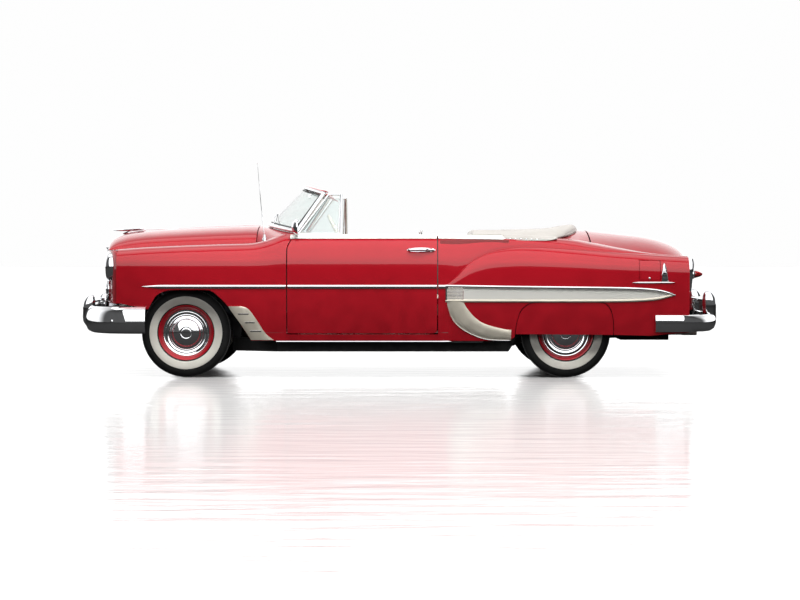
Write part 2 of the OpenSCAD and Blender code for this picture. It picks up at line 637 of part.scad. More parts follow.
well = [rx - 580, rx + 112];
module tub() {
    half = floor_half;
    shell = [[fx + 500, floor_z], [fx + 500, floor_z - floor_t], [rx - 420, floor_z - floor_t],
        [rx - 300, 545], [rx + 300, 545],
             [rx + 420, 470], [rx + 920, 470], [rx + 920, 488], [rx + 426, 488], [rx + 306, 563],
             [rx - 306, 563],
             [rx - 426, floor_z]];
    difference() {
        union() {
            rotate([90, 0, 0]) linear_extrude(2 * half, center = true) polygon(shell);
            box([fx + 500, -tunnel[0] - floor_t, floor_z - floor_t],
                [rx - 345, tunnel[0] + floor_t, tunnel[1] + floor_t]);
        }
        box([fx + 480, -tunnel[0], 0], [rx - 330, tunnel[0], tunnel[1]]);
        for (s = [-1, 1]) box([rx - arch_r - 30, s > 0 ? track_rear / 2 - 118 : -hw, 0],
                              [rx + arch_r + 30, s > 0 ? hw : -(track_rear / 2 - 118), 700]);
        for (s = [-1, 1]) box([rx - 430, s > 0 ? 700 : -hw, 0], [rx + 930, s > 0 ? hw : -700, 700]);
    }
    // Firewall, bulkhead behind the rear seat
    difference() {
        box([fx + 480, -(hw - 252), floor_z - floor_t], [fx + 500, hw - 252, 1015]);
        box([fx + 470, -tunnel[0], 0], [fx + 510, tunnel[0], tunnel[1]]);
    }
    difference() {
        box([well[0] - floor_t, -620, floor_z], [well[0], 620, 1040]);
        box([well[0] - 40, -tunnel[0], 0], [well[0] + 10, tunnel[0], tunnel[1]]);
    }
    // Kick panels beside the front footwell and trim panels beside the rear seat
    both() {
        box([fx + 500, floor_half - 14, floor_z - 1], [hinge_line - gap, floor_half, 1005]);
        box([lock_line + gap, floor_half - 14, floor_z - 1], [rx - 436, floor_half, 1072]);
        box([rx - 436, floor_half - 140, 560], [well[1], floor_half - 126, 1040]);
    }
    // Rear wheel houses
    both() intersection() {
        difference() {
            across(arch_r + 12, track_rear / 2 - 118, hw - 60, [rx, axle_z]);
            across(arch_r, track_rear / 2 - 106, hw, [rx, axle_z]);
        }
        box([rx - arch_r - 30, 0, axle_z + axle_r + gap], [rx + arch_r + 30, hw - 62, 900]);
    }
}

module frame_rails() {
    h = [rail_z, rail_z + rail_h];
    mid_y = mid_rail_y;
    front_y = front_rail_y;
    both() {
        translate([0, 0, h[0]]) linear_extrude(rail_h) polygon([
            [fx + 330, front_y - rail_w / 2], [fx + 700, mid_y - rail_w / 2],
            [rx - 480, mid_y - rail_w / 2],
            [rx - 480, mid_y + rail_w / 2], [fx + 690, mid_y + rail_w / 2],
            [fx + 330, front_y + rail_w / 2]]);
        box([fx - 600, front_y - rail_w / 2, 350], [fx + 400, front_y + rail_w / 2, 350 + rail_h]);
        box([fx + 330, front_y - rail_w / 2, h[0]], [fx + 400, front_y + rail_w / 2, 350 + rail_h]);
        box([rx - 560, mid_y - rail_w / 2, h[0]], [rx - 480, mid_y + rail_w / 2, 300]);
        rotate([90, 0, 0]) translate([0, 0, -mid_y - rail_w / 2]) linear_extrude(rail_w) polygon([
            [rx - 560, h[0]], [rx - 430, h[0]], [rx - 270, 430], [rx + 300, 430], [rx + 420, 340],
            [rx + 950, 340],
            [rx + 950, 420], [rx + 400, 430], [rx + 270, 520], [rx - 270, 520], [rx - 330, 440],
            [rx - 440, 300],
            [rx - 560, 300]]);
    }
    // Cross members
    box([fx - 560, -front_y, 360], [fx - 500, front_y, 430]);
    box([fx - 60, -front_y, 250], [fx + 60, front_y, 360]);
    box([fx + 700, -mid_y, h[0] + 10], [fx + 760, mid_y, h[0] + 70]);
    box([rx - 560, -mid_y, h[0] + 10], [rx - 500, mid_y, h[0] + 70]);
    box([rx + 380, -mid_y, 345], [rx + 440, mid_y, 400]);
    box([rx + 860, -mid_y, 345], [rx + 920, mid_y, 400]);
    for (s = [-1, 1]) translate([0, 0, h[0] + 12]) linear_extrude(60) polygon([
        [fx + 720, s * (mid_y - 30)], [fx + 760, s * mid_y], [rx - 1020, s * 60], [rx - 1090, s * 20],
        [fx + 1350, s * 20]]);
    for (s = [-1, 1]) translate([0, 0, h[0] + 12]) linear_extrude(60) polygon([
        [rx - 1090, s * 20], [rx - 1020, s * 60], [rx - 540, s * mid_y], [rx - 500, s * (mid_y - 60)],
        [rx - 900, s * 20]]);
}

module suspension_front() {
    both() {
        // Lower arm from the cross member to the knuckle
        translate([0, 0, 225]) linear_extrude(24) polygon([
            [fx - 60, 300], [fx + 60, 300], [fx + 20, pivot_y - 24], [fx - 20, pivot_y - 24]]);
        translate([0, 0, 470]) linear_extrude(20) polygon([
            [fx - 45, 424], [fx + 45, 424], [fx + 16, pivot_y - 24], [fx - 16, pivot_y - 24]]);
        // Coil spring tower
        translate([fx, 475, 250]) cylinder(r = 48, h = 219, $fn = 32);
    }
}

module knuckle() {
    // Upright with its stub axle, drawn on the right side
    translate([fx, pivot_y, 215]) cylinder(r = 14, h = 285, $fn = 32);
    box([fx - 22, pivot_y - 10, 290], [fx + 22, pivot_y + 12, 400]);
    across(14, pivot_y, track_front / 2 + 30, [fx, axle_z]);
    across(120, pivot_y + 10, pivot_y + 15, [fx, axle_z], 60);
}

module axle_rear() {
    across(axle_r, -track_rear / 2 + 70, track_rear / 2 - 70, [rx, axle_z]);
    across(118, -60, 60, [rx, axle_z], 60);
    translate([rx - 700, 0, axle_z]) rotate([0, 90, 0]) cylinder(r = axle_r, h = 640, $fn = 40);
    translate([fx + 900, 0, axle_z]) rotate([0, 90, 0]) cylinder(r = 32, h = wheelbase - 1600, $fn = 40);
    both() rotate([90, 0, 0]) translate([0, 0, -506]) linear_extrude(50) polygon([
        [rx - 650, 322], [rx - 300, 310], [rx, axle_z - axle_r], [rx + 300, 320], [rx + 650, 335],
        [rx + 650, 310], [rx + 300, 290], [rx, axle_z - axle_r - 36], [rx - 300, 280], [rx - 650, 296]]);
}

module engine() {
    box([fx - 240, -210, 470], [fx + 440, 210, 900]);
    box([fx - 180, -150, 390], [fx + 420, 150, 470]);
    translate([fx + 440, 0, 560]) rotate([0, 90, 0]) cylinder(r = 100, h = 30, $fn = 40);
    translate([fx - 300, 0, 700]) rotate([0, 90, 0]) cylinder(r = 190, h = 20, $fn = 40);
    translate([fx - 290, 0, 700]) rotate([0, 90, 0]) cylinder(r = 30, h = 60, $fn = 30);
}
module cooling() box([fx - 460, -290, 440], [fx - 400, 290, 930]);

module tank() {
    box([rx + 470, -340, 270], [rx + 850, 340, 334]);
}

module pipes() {
    rod([[fx + 300, 250, 330], [fx + 420, 250, 290], [fx + 560, 250, 240], [fx + 700, 270, 172],
        [fx + 900, 300, 172],
         [rx - 700, 300, 172], [rx - 480, 350, 172], [rx - 250, 400, 240], [rx - 60, 400, 262],
         [rx + 260, 400, 262],
         [rx + 700, 400, 290], [rx + 980, 430, 300], [rx + 1058, 430, 300]], pipe_r - 2, 10);
    // Tail pipe end
    translate([rx + 1059, 430, 300]) rotate([0, 90, 0]) difference() {
        cylinder(r = pipe_r, h = 120, $fn = 48);
        translate([0, 0, -1]) cylinder(r = pipe_r - 3, h = 122, $fn = 48);
    }
}

module antenna_rod() {
    base = [fx + 600, -(hw - 232), 0];
    tip_x = fx + 545;
    z0 = 1062;
    translate([base[0], base[1], z0]) cylinder(r1 = 19, r2 = 10, h = 40, $fn = 32);
    rod([[base[0], base[1], z0 + 30], [mix(base[0], tip_x, 0.5), base[1], 1340], [tip_x, base[1], 1654]],
        3, 8);
}

// ---------------------------------------------------------------- wheels

module rim(side) {
    // Pressed rim, disc, drum and hubcap; side 1 shows the cap towards +Y
    scale([1, side, 1]) rotate([-90, 0, 0]) rotate_extrude($fn = 72) polygon([
        [15.05, -40], [30, -60], [145, -60], [150, -20], [rim_d / 2 - 30, -62],
        [rim_d / 2 - 14, -tyre_w / 2 + 14],
        [rim_d / 2 - 0.5, -tyre_w / 2 + 14], [rim_d / 2 - 0.5, tyre_w / 2 - 14],
        [rim_d / 2 - 12, tyre_w / 2 - 14],
        [rim_d / 2 - 26, 40], [cap_d / 2 + 6, 26], [cap_d / 2, 30], [cap_d / 2 - 12, 46], [cap_d / 4, 62],
        [0, 68],
        [0, 46], [15.05, 46]]);
}
module tyre() {
    r0 = rim_d / 2;
    r1 = tyre_d / 2;
    w = tyre_w / 2;
    rotate([-90, 0, 0]) rotate_extrude($fn = 96) polygon([
        [r0, -w + 12], [r0 + 12, -w + 4], [mix(r0, r1, 0.5), -w], [r1 - 28, -w + 10], [r1 - 9, -w + 24],
        [r1, -w + 46],
        [r1, w - 46], [r1 - 9, w - 24], [r1 - 28, w - 10], [mix(r0, r1, 0.5), w], [r0 + 12, w - 4],
        [r0, w - 12]]);
}
module at_wheel(x, y) translate([x, y, axle_z]) children();

// ---------------------------------------------------------------- folded top

module boot() {
    rows = [[rx - 722, 1126, 690], [rx - 640, 1138, 715], [rx - 485, 1139, 745], [rx - 294, 1139, 745],
        [rx - 80, 1151, 735],
            [rx + 20, 1166, 700], [rx + 75, 1180, 660], [rx + 100, 1180, 640], [rx + 113, 1160, 610]];
    function top(r) = [for (a = steps(-1, 1, 12)) [r[0], r[2] * a, r[1] - 22 * pow(abs(a), 6)]];
    function low(r) = [for (a = steps(-1, 1, 12)) [r[0], r[2] * a, belt_z + 6]];
    slab([for (r = rows) top(r)], [for (r = rows) low(r)]);
}

module fuel_flap() {
    xs = steps(fuel_x[0] + 6, fuel_x[1] - 6, 4);
    zs = steps(fuel_z[0] + 6, fuel_z[1] - 6, 5);
    function y(x, z) = upper_y(x, z) + max(0, quarter_w(x) - upper_w(x)) * swell((z
        - 620) / (crest_z(x) - 620));
    mirror([0, 1, 0]) slab([for (x = xs) [for (z = zs) [x, y(x, z), z]]],
        [for (x = xs) [for (z = zs) [x, y(x, z) - 8, z]]]);
}

// ---------------------------------------------------------------- sub-parts

red = "#a5121f";
ivory = "#e6dcc6";
chrome = "#c8ccd0";

module chassis_frame() color("#1c1c1e") frame_rails();
module floor_pan() color("#3a3a3c") tub();
module sills() color(red) sill_beams();
module cowl() color(red) cowl_panel();
module front_fender_left() color(red) mirror([0, 1, 0]) front_fender();
module front_fender_right() color(red) front_fender();
module rear_quarter_left() color(red) resize([0, 0, 0]) difference() {
    mirror([0, 1, 0]) rear_quarter();
    box([fuel_x[0], -far, fuel_z[0]], [fuel_x[1], -(hw - 150), fuel_z[1]]);
}
module rear_quarter_right() color(red) rear_quarter();
module tail_panel() color(red) tail();
module nose_panel() color(red) nose();
module grille() color(chrome) grille_bars();
module front_bumper() color(chrome) bumper_front();
module rear_bumper() color(chrome) bumper_rear();
module windshield_frame() color(chrome) screen_frame();
module windshield_glass() color("#bfd4d6", 0.4) screen_glass();
module front_seat() color(ivory) seat_front();
module rear_seat() color(ivory) seat_rear();
module dashboard() color(red) dash();
module steering_column() color("#777777") column();
module top_boot() color(ivory) boot();
module headlamps() color(chrome) lamps();
module tail_lamps() color(chrome) rear_lamps();
module rear_axle() color("#222222") axle_rear();
module front_suspension() color("#222222") suspension_front();
module engine_block() color("#5a6a72") engine();
module radiator() color("#202020") cooling();
module fuel_tank() color("#333333") tank();
module exhaust() color("#6b6460") pipes();
module fender_skirts() color(red) skirts();
module antenna() color(chrome) antenna_rod();
module hood() color(red) bonnet();
module trunk_lid() color(red) trunk();
module door_left() color(red) mirror([0, 1, 0]) door();
module door_right() color(red) door();
module vent_window_left() color(chrome) mirror([0, 1, 0]) vent();
module vent_window_right() color(chrome) vent();
module door_mirror() color(chrome) mirror_head();
module fuel_door() color(red) fuel_flap();
module steering_wheel() color(ivory) helm_wheel();
module knuckle_left() color("#444444") mirror([0, 1, 0]) knuckle();
module knuckle_right() color("#444444") knuckle();
module wheel_front_left() color(red) at_wheel(fx, -track_front / 2) rim(-1);
module wheel_front_right() color(red) at_wheel(fx, track_front / 2) rim(1);
module wheel_rear_left() color(red) at_wheel(rx, -track_rear / 2) rim(-1);
module wheel_rear_right() color(red) at_wheel(rx, track_rear / 2) rim(1);
module tyre_front_left() color("#161616") at_wheel(fx, -track_front / 2) tyre();
module tyre_front_right() color("#161616") at_wheel(fx, track_front / 2) tyre();
module tyre_rear_left() color("#161616") at_wheel(rx, -track_rear / 2) tyre();
module tyre_rear_right() color("#161616") at_wheel(rx, track_rear / 2) tyre();

chassis_frame();
floor_pan();
sills();
cowl();
front_fender_left();
front_fender_right();
rear_quarter_left();
rear_quarter_right();
tail_panel();
nose_panel();
grille();
front_bumper();
rear_bumper();
windshield_frame();
windshield_glass();
front_seat();
rear_seat();
dashboard();
steering_column();
top_boot();
headlamps();
tail_lamps();
rear_axle();
front_suspension();
engine_block();
radiator();
fuel_tank();
exhaust();
fender_skirts();
antenna();
hood();
trunk_lid();
door_left();
door_right();
vent_window_left();
vent_window_right();
door_mirror();
fuel_door();
steering_wheel();
knuckle_left();
knuckle_right();
wheel_front_left();
wheel_front_right();
wheel_rear_left();
wheel_rear_right();
tyre_front_left();
tyre_front_right();
tyre_rear_left();
tyre_rear_right();
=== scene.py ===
# Red two-door convertible with its top folded under an ivory boot.
import math
import random
import bpy
import bmesh
from mathutils import Matrix, Vector


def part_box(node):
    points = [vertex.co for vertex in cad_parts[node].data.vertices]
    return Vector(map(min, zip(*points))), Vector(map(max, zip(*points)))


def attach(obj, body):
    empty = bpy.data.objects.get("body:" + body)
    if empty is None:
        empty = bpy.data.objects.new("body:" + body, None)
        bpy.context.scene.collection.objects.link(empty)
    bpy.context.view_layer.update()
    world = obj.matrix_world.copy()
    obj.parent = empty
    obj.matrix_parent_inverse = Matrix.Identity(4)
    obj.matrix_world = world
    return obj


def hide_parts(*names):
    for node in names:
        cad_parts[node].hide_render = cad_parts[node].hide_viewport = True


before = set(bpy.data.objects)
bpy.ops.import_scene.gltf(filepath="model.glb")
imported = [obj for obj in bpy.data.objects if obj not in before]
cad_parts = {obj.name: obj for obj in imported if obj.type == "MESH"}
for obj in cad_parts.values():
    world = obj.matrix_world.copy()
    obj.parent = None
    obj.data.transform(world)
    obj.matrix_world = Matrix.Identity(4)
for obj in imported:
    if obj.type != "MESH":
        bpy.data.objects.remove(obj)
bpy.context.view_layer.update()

random.seed(7)

# places taken from the frame

mm = 0.001


def middle(node):
    low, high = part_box(node)
    return [(low[i] + high[i]) / 2 for i in range(3)]


frontAxle = middle("tyre_front_left")[0] / mm
rearAxle = middle("tyre_rear_left")[0] / mm
wheelR = middle("tyre_front_left")[2] / mm
halfWidth = max(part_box("rear_quarter_right")[1][1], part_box("rear_bumper")[1][1]) / mm
halfWidth = 952.5 if abs(halfWidth - 952.5) < 3 else halfWidth
sideW = halfWidth - 36
waist = 870.0
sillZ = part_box("sills")[0][2] / mm
hingeLine = frontAxle + 781
lockLine = rearAxle - 986
tailX = rearAxle + 939
noseX = frontAxle - 685
fenderX = frontAxle - 528
hoodRear = frontAxle + 525
hoodHalf = 558.0
trunkHalf = 600.0
gap = 8.0
beltZ = 1097.0

# curves


def ramp(v, low, high):
    s = min(max((v - low) / (high - low), 0.0), 1.0)
    return s * s * (3 - 2 * s)


def mix(a, b, s):
    if isinstance(a, (list, tuple, Vector)):
        return [p + (q - p) * s for p, q in zip(a, b)]
    return a + (b - a) * s


def steps(a, b, n):
    return [a + (b - a) * i / n for i in range(n + 1)]


def curve(x, table):
    i = 0
    while i < len(table) - 2 and x >= table[i + 1][0]:
        i += 1

    def slope(k):
        a, b = max(k - 1, 0), min(k + 1, len(table) - 1)
        return (table[b][1] - table[a][1]) / (table[b][0] - table[a][0])

    (x0, v0), (x1, v1) = table[i], table[i + 1]
    w = x1 - x0
    s = min(max((x - x0) / w, 0.0), 1.0)
    r = 1 - s
    return (v0 * (1 + 2 * s) * r * r + slope(i) * w * s * r * r
            + v1 * s * s * (3 - 2 * s) - slope(i + 1) * w * s * s * r)


def spline(points, n):
    # even run of points through the given ones
    out = []
    last = len(points) - 1
    for i in range(last):
        p0, p1, p2, p3 = (points[max(i - 1, 0)], points[i], points[i + 1], points[min(i + 2, last)])
        for k in range(n):
            t = k / n
            out.append([0.5 * (2 * b + (c - a) * t + (2 * a - 5 * b + 4 * c - d) * t * t
                               + (3 * b - a - 3 * c + d) * t ** 3) for a, b, c, d in zip(p0, p1, p2, p3)])
    out.append(list(points[-1]))
    return out


# body surface, in millimetres


def tuck(z):
    if z < waist:
        return 0.00016 * (waist - z) ** 2
    return 150 * (1 - math.sqrt(max(0.0, 1 - ((z - waist) / 235) ** 2)))


def doorY(z):
    return sideW - tuck(z)


def doorIn(z):
    return doorY(z) - mix(105, 46, ramp(z, waist, beltZ - 30))


def shutX(z):
    return hingeLine + 67 * (max(z - 985, 0) / 120) ** 1.6


def frontW(x):
    f = frontAxle
    return sideW + 1 - curve(x, [(f - 560, 62), (f - 250, 22), (f + 150, 4), (f + 781, 1)])


def crownZ(x):
    f = frontAxle
    return curve(x, [(f - 560, 988), (f - 300, 1006), (f + 150, 1024), (f + 600, 1036)])


def frontSection(x, n=5):
    w, c, g = frontW(x), crownZ(x) - waist, ramp(x, hoodRear - 60, hingeLine)
    top = [[w - p, waist + c * q] for p, q in
           ((7, 0.30), (27, 0.58), (60, 0.80), (110, 0.94), (190, 1.0), (w - hoodHalf - gap, 0.985))]
    side = [[doorY(z), z] for z in (915, 965, 1008, 1045, 1075, beltZ)]
    low = [[w - tuck(z), z] for z in (sillZ, 420, 560, 700, 800, waist)]
    return spline(low + [mix(a, b, g) for a, b in zip(top, side)], n)


def upperW(x):
    r = rearAxle
    return sideW + 1 - curve(x, [(lockLine, 1), (r - 400, 12), (r, 36), (r + 500, 72), (tailX, 112)])


def quarterW(x):
    r = rearAxle
    return halfWidth - curve(x, [(r - 903, 37), (r - 800, 14), (r - 600, 4), (r - 200, 0),
                                 (r + 300, 0), (r + 650, 8), (tailX, 36)])


def crestZ(x):
    r = rearAxle
    return curve(x, [(r - 990, 690), (r - 903, 725), (r - 750, 878), (r - 604, 959), (r - 414, 998),
                     (r - 239, 1003), (r + 53, 988), (r + 343, 966), (r + 607, 951), (tailX, 929)])


def edgeY(x):
    r = rearAxle
    return max(trunkHalf + gap, curve(x, [(lockLine, doorY(beltZ)), (r - 485, 795), (r - 178, 765), (r + 72, 690),
                     (r + 227, trunkHalf + gap), (tailX, trunkHalf + gap)]))


def edgeZ(x):
    r = rearAxle
    return curve(x, [(lockLine, beltZ), (r - 485, 1090), (r - 178, 1078), (r + 72, 1062), (r + 227, 1040),
                     (r + 422, 1003), (r + 656, 962), (tailX, 934)])


def swell(f):
    return 1.0 if f < 0.6 else math.sqrt(max(0.0, 1 - ((f - 0.6) / 0.4) ** 2))


def upperY(x, z):
    return upperW(x) - tuck(min(z, 1100))


def quarterSection(x):
    c, b = crestZ(x), max(0.0, quarterW(x) - upperW(x))
    v, e, g = upperY(x, c + 3), (edgeY(x), edgeZ(x)), ramp(x, lockLine, lockLine + 500)
    rows = [[upperY(x, z) + b, z] for z in steps(sillZ, 600, 12)]
    for f in steps(0, 0.6, 8) + [0.6 + 0.4 * math.sin(a) for a in steps(0, math.pi / 2, 12)[1:]]:
        z = mix(620, c, f)
        rows.append([upperY(x, z) + b * swell(f), z])
    for a in [math.radians(d) for d in [0] + steps(4, 90, 18)]:
        z = c + 3 + (e[1] - c - 3) * math.sin(a)
        rows.append([mix(upperY(x, z), e[0] + (v - e[0]) * math.cos(a), g), z])
    return rows


def sideY(x, z):
    # half width of the outer skin at any place on the side
    if x < hingeLine:
        return frontW(x) - tuck(z)
    if x < lockLine:
        return doorY(z)
    c, b = crestZ(x), max(0.0, quarterW(x) - upperW(x))
    return upperY(x, z) + (b * swell((z - 620) / (c - 620)) if z < c else 0)


# mesh makers


def makeMesh(name, verts, faces, scale=mm):
    mesh = bpy.data.meshes.new(name)
    mesh.from_pydata([[c * scale for c in v] for v in verts], [], faces)
    mesh.validate()
    obj = bpy.data.objects.new(name, mesh)
    bpy.context.scene.collection.objects.link(obj)
    return obj


def outward(obj):
    bm = bmesh.new()
    bm.from_mesh(obj.data)
    bmesh.ops.remove_doubles(bm, verts=bm.verts, dist=1e-5)
    bmesh.ops.recalc_face_normals(bm, faces=bm.faces)
    bm.to_mesh(obj.data)
    bm.free()
    return obj


def slab(name, outer, inner):
    m, n = len(outer), len(outer[0])
    k = m * n
    verts = [p for row in outer for p in row] + [p for row in inner for p in row]
    faces = []
    for i in range(m - 1):
        for j in range(n - 1):
            a, b, c, d = i * n + j, i * n + j + 1, (i + 1) * n + j + 1, (i + 1) * n + j
            faces += [(a, b, c, d), (k + d, k + c, k + b, k + a)]
        for j in (0, n - 1):
            a, b = i * n + j, (i + 1) * n + j
            faces.append((a, b, k + b, k + a))
    for j in range(n - 1):
        for i in (0, m - 1):
            a, b = i * n + j, i * n + j + 1
            faces.append((a, b, k + b, k + a))
    return outward(makeMesh(name, verts, faces))


def loft(name, rings, caps=True, closed=False):
    m, n = len(rings), len(rings[0])
    verts = [p for r in rings for p in r]
    faces = []
    for i in range(m if closed else m - 1):
        for j in range(n):
            i2 = (i + 1) % m
            faces.append((i * n + j, i * n + (j + 1) % n, i2 * n + (j + 1) % n, i2 * n + j))
    if caps and not closed:
        faces += [tuple(range(n)), tuple(range((m - 1) * n, m * n))]
    return outward(makeMesh(name, verts, faces))


def tube(name, path, radius, sides=12, flat=1.0, closed=False):
    rings = []
    count = len(path)
    for i, p in enumerate(path):
        a = path[(i - 1) % count] if closed else path[max(i - 1, 0)]
        b = path[(i + 1) % count] if closed else path[min(i + 1, count - 1)]
        t = (Vector(b) - Vector(a)).normalized()
        s = t.cross(Vector((1, 0, 0) if abs(t.z) > 0.9 else (0, 0, 1))).normalized()
        u = s.cross(t)
        r = radius[i] if isinstance(radius, (list, tuple)) else radius
        rings.append([list(Vector(p) + r * (math.cos(2 * math.pi * k / sides) * s
                                            + flat * math.sin(2 * math.pi * k / sides) * u)) for k in range(sides)])
    return loft(name, rings, closed=closed)


def lathe(name, profile, at, axis="Y", turn=1, count=96):
    # profile of (radius, along) turned round an axis through at
    rings = []
    for k in range(count):
        a = 2 * math.pi * k / count
        ring = []
        for r, s in profile:
            c, d = r * math.cos(a), r * math.sin(a)
            ring.append({"Y": (at[0] + c, at[1] + turn * s, at[2] + d), "X": (at[0] + turn * s, at[1] + c, at[2] + d),
                         "Z": (at[0] + c, at[1] + d, at[2] + turn * s)}[axis])
        rings.append(ring)
    m, n = count, len(profile)
    verts = [p for r in rings for p in r]
    faces = [(i * n + j, i * n + j + 1, (i + 1) % m * n + j + 1, (i + 1) % m * n + j)
             for i in range(m) for j in range(n - 1)]
    return outward(makeMesh(name, verts, faces))


def block(name, low, high, bevel=0.0, segments=2):
    obj = makeMesh(name, [(x, y, z) for x in (low[0], high[0]) for y in (low[1], high[1]) for z in (low[2], high[2])],
                   [(0, 1, 3, 2), (4, 6, 7, 5), (0, 4, 5, 1), (2, 3, 7, 6), (0, 2, 6, 4), (1, 5, 7, 3)])
    outward(obj)
    if bevel:
        bm = bmesh.new()
        bm.from_mesh(obj.data)
        bmesh.ops.bevel(bm, geom=bm.edges, offset=bevel * mm, segments=segments, profile=0.6, affect="EDGES")
        bm.to_mesh(obj.data)
        bm.free()
    return obj


def prism(name, outline, y0=-3000, y1=3000, plane="XZ"):
    n = len(outline)
    put = {"XZ": lambda p, d: (p[0], d, p[1]), "YZ": lambda p, d: (d, p[0], p[1]), "XY": lambda p,
        d: (p[0], p[1], d)}[plane]
    verts = [put(p, y0) for p in outline] + [put(p, y1) for p in outline]
    faces = [tuple(range(n)), tuple(range(n, 2 * n))] + [(i, (i + 1) % n, n + (i + 1) % n, n + i) for i in range(n)]
    return outward(makeMesh(name, verts, faces))


def cut(obj, tool, how="INTERSECT", keepTool=False):
    mod = obj.modifiers.new("cut", "BOOLEAN")
    mod.operation, mod.object, mod.solver = how, tool, "EXACT"
    bake(obj)
    if not keepTool:
        bpy.data.objects.remove(tool)
    return obj


def bake(obj):
    # applies every modifier, leaving a plain mesh
    bpy.context.view_layer.update()
    mesh = bpy.data.meshes.new_from_object(obj.evaluated_get(bpy.context.evaluated_depsgraph_get()))
    obj.modifiers.clear()
    obj.data = mesh
    return obj


def smooth(obj, angle=35):
    mesh = obj.data
    bm = bmesh.new()
    bm.from_mesh(mesh)
    bmesh.ops.dissolve_degenerate(bm, dist=2e-5, edges=bm.edges)
    for f in bm.faces:
        f.smooth = True
    for e in bm.edges:
        e.smooth = e.is_manifold and e.calc_face_angle(0) < math.radians(angle)
    bm.to_mesh(mesh)
    bm.free()
    mod = obj.modifiers.new("weights", "WEIGHTED_NORMAL")
    mod.keep_sharp = True
    return bake(obj)


def join(name, objs):
    mats = []
    bm = bmesh.new()
    for o in objs:
        base = len(mats)
        mats += list(o.data.materials) or [None]
        start = len(bm.faces)
        bm.from_mesh(o.data)
        bm.faces.ensure_lookup_table()
        for f in bm.faces[start:]:
            f.material_index += base
    mesh = bpy.data.meshes.new(name)
    bm.to_mesh(mesh)
    bm.free()
    for m in mats:
        mesh.materials.append(m)
    for o in objs:
        bpy.data.objects.remove(o)
    obj = bpy.data.objects.new(name, mesh)
    bpy.context.scene.collection.objects.link(obj)
    return obj


def mirrored(obj, name):
    mesh = obj.data.copy()
    mesh.transform(Matrix.Scale(-1, 4, (0, 1, 0)))
    mesh.flip_normals()
    twin = bpy.data.objects.new(name, mesh)
    bpy.context.scene.collection.objects.link(twin)
    return twin


def place(obj, body, slot, finish=None, stands=(), name=None):
    obj.name = obj.data.name = (name or obj.name).replace(" ", "_")
    if finish is not None:
        obj.data.materials.clear()
        obj.data.materials.append(finish)
    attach(obj, body)
    if stands:
        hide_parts(*stands)
    return obj

# finishes


class Sock:  # an output socket that takes part in sums
    def __init__(self, kit, socket):
        self.kit, self.socket = kit, socket

    def math(self, operation, *others):
        return self.kit.node("ShaderNodeMath", {"operation": operation}, dict(enumerate((self,) + others)))

    def __add__(self, other):
        return self.math("ADD", other)

    def __sub__(self, other):
        return self.math("SUBTRACT", other)

    def __rsub__(self, other):
        return self.kit.node("ShaderNodeMath", {"operation": "SUBTRACT"}, {0: other, 1: self})

    def __mul__(self, other):
        return self.math("MULTIPLY", other)

    def __truediv__(self, other):
        return self.math("DIVIDE", other)

    def __pow__(self, other):
        return self.math("POWER", other)

    __radd__, __rmul__ = __add__, __mul__

    def between(self, low, high, a=0.0, b=1.0):
        return self.kit.node("ShaderNodeMapRange", {"interpolation_type": "SMOOTHSTEP"},
                             {0: self, 1: low, 2: high, 3: a, 4: b})


class Finish:  # a material being built
    def __init__(self, name, **shader):
        self.material = bpy.data.materials.new(name)
        self.material.use_nodes = True
        self.tree = self.material.node_tree
        self.shader = self.tree.nodes["Principled BSDF"]
        self.coords = Sock(self, self.tree.nodes.new("ShaderNodeTexCoord").outputs["Object"])
        for key, value in shader.items():
            self.put(key, value)

    def put(self, key, value):
        socket = self.shader.inputs[{"color": "Base Color", "coat": "Coat Weight", "coatRoughness": "Coat Roughness",
                                     "ior": "IOR", "sheen": "Sheen Weight", "glow": "Emission Color",
                                     "glowStrength": "Emission Strength",
                                     "transmission": "Transmission Weight"}.get(key, key.capitalize())]
        if isinstance(value, Sock):
            self.tree.links.new(value.socket, socket)
        else:
            socket.default_value = (*value, 1.0) if isinstance(value, tuple) and len(value) == 3 else value

    def node(self, kind, settings=None, values=None, out=0):
        n = self.tree.nodes.new(kind)
        for key, value in (settings or {}).items():
            if key == "stops":
                while len(n.color_ramp.elements) < len(value):
                    n.color_ramp.elements.new(0.5)
                for e, (at, color) in zip(n.color_ramp.elements, value):
                    e.position, e.color = at, (*color, 1.0)
            else:
                setattr(n, key, value)
        for key, value in (values or {}).items():
            if isinstance(value, Sock):
                self.tree.links.new(value.socket, n.inputs[key])
            else:
                n.inputs[key].default_value = (*value, 1.0) if isinstance(value, tuple) and len(value) == 3 and \
                    n.inputs[key].type == "RGBA" else value
        return Sock(self, n.outputs[out])

    def noise(self, scale, detail=3, roughness=0.5, stretch=None):
        at = self.coords if stretch is None else self.node("ShaderNodeMapping", None, {0: self.coords, 3: stretch})
        return self.node("ShaderNodeTexNoise", None, {"Vector": at, "Scale": scale, "Detail": detail,
                                                      "Roughness": roughness})

    def blend(self, mask, a, b):
        return self.node("ShaderNodeMix", {"data_type": "RGBA"}, {0: mask, 6: a, 7: b}, 2)

    def bump(self, height, strength, distance=0.001):
        self.put("normal", self.node("ShaderNodeBump", None, {"Height": height, "Strength": strength,
                                                               "Distance": distance}))
        return self

    def axis(self, k):
        return self.node("ShaderNodeSeparateXYZ", None, {0: self.coords}, k)


def enamel(name, deep, light, flake=0.0):
    # glossy paint: slow tone drift, faint orange peel
    f = Finish(name, metallic=flake, roughness=0.5, coat=1.0, coatRoughness=0.02, ior=1.5)
    f.shader.inputs["Specular IOR Level"].default_value = 0.08
    f.put("color", f.blend(f.noise(1.3, 4).between(0.3, 0.7), deep, light))
    f.put("roughness", f.noise(9, 3).between(0.3, 0.7, 0.44, 0.54))
    return f.bump(f.noise(420, 2), 0.012, 0.0004).material


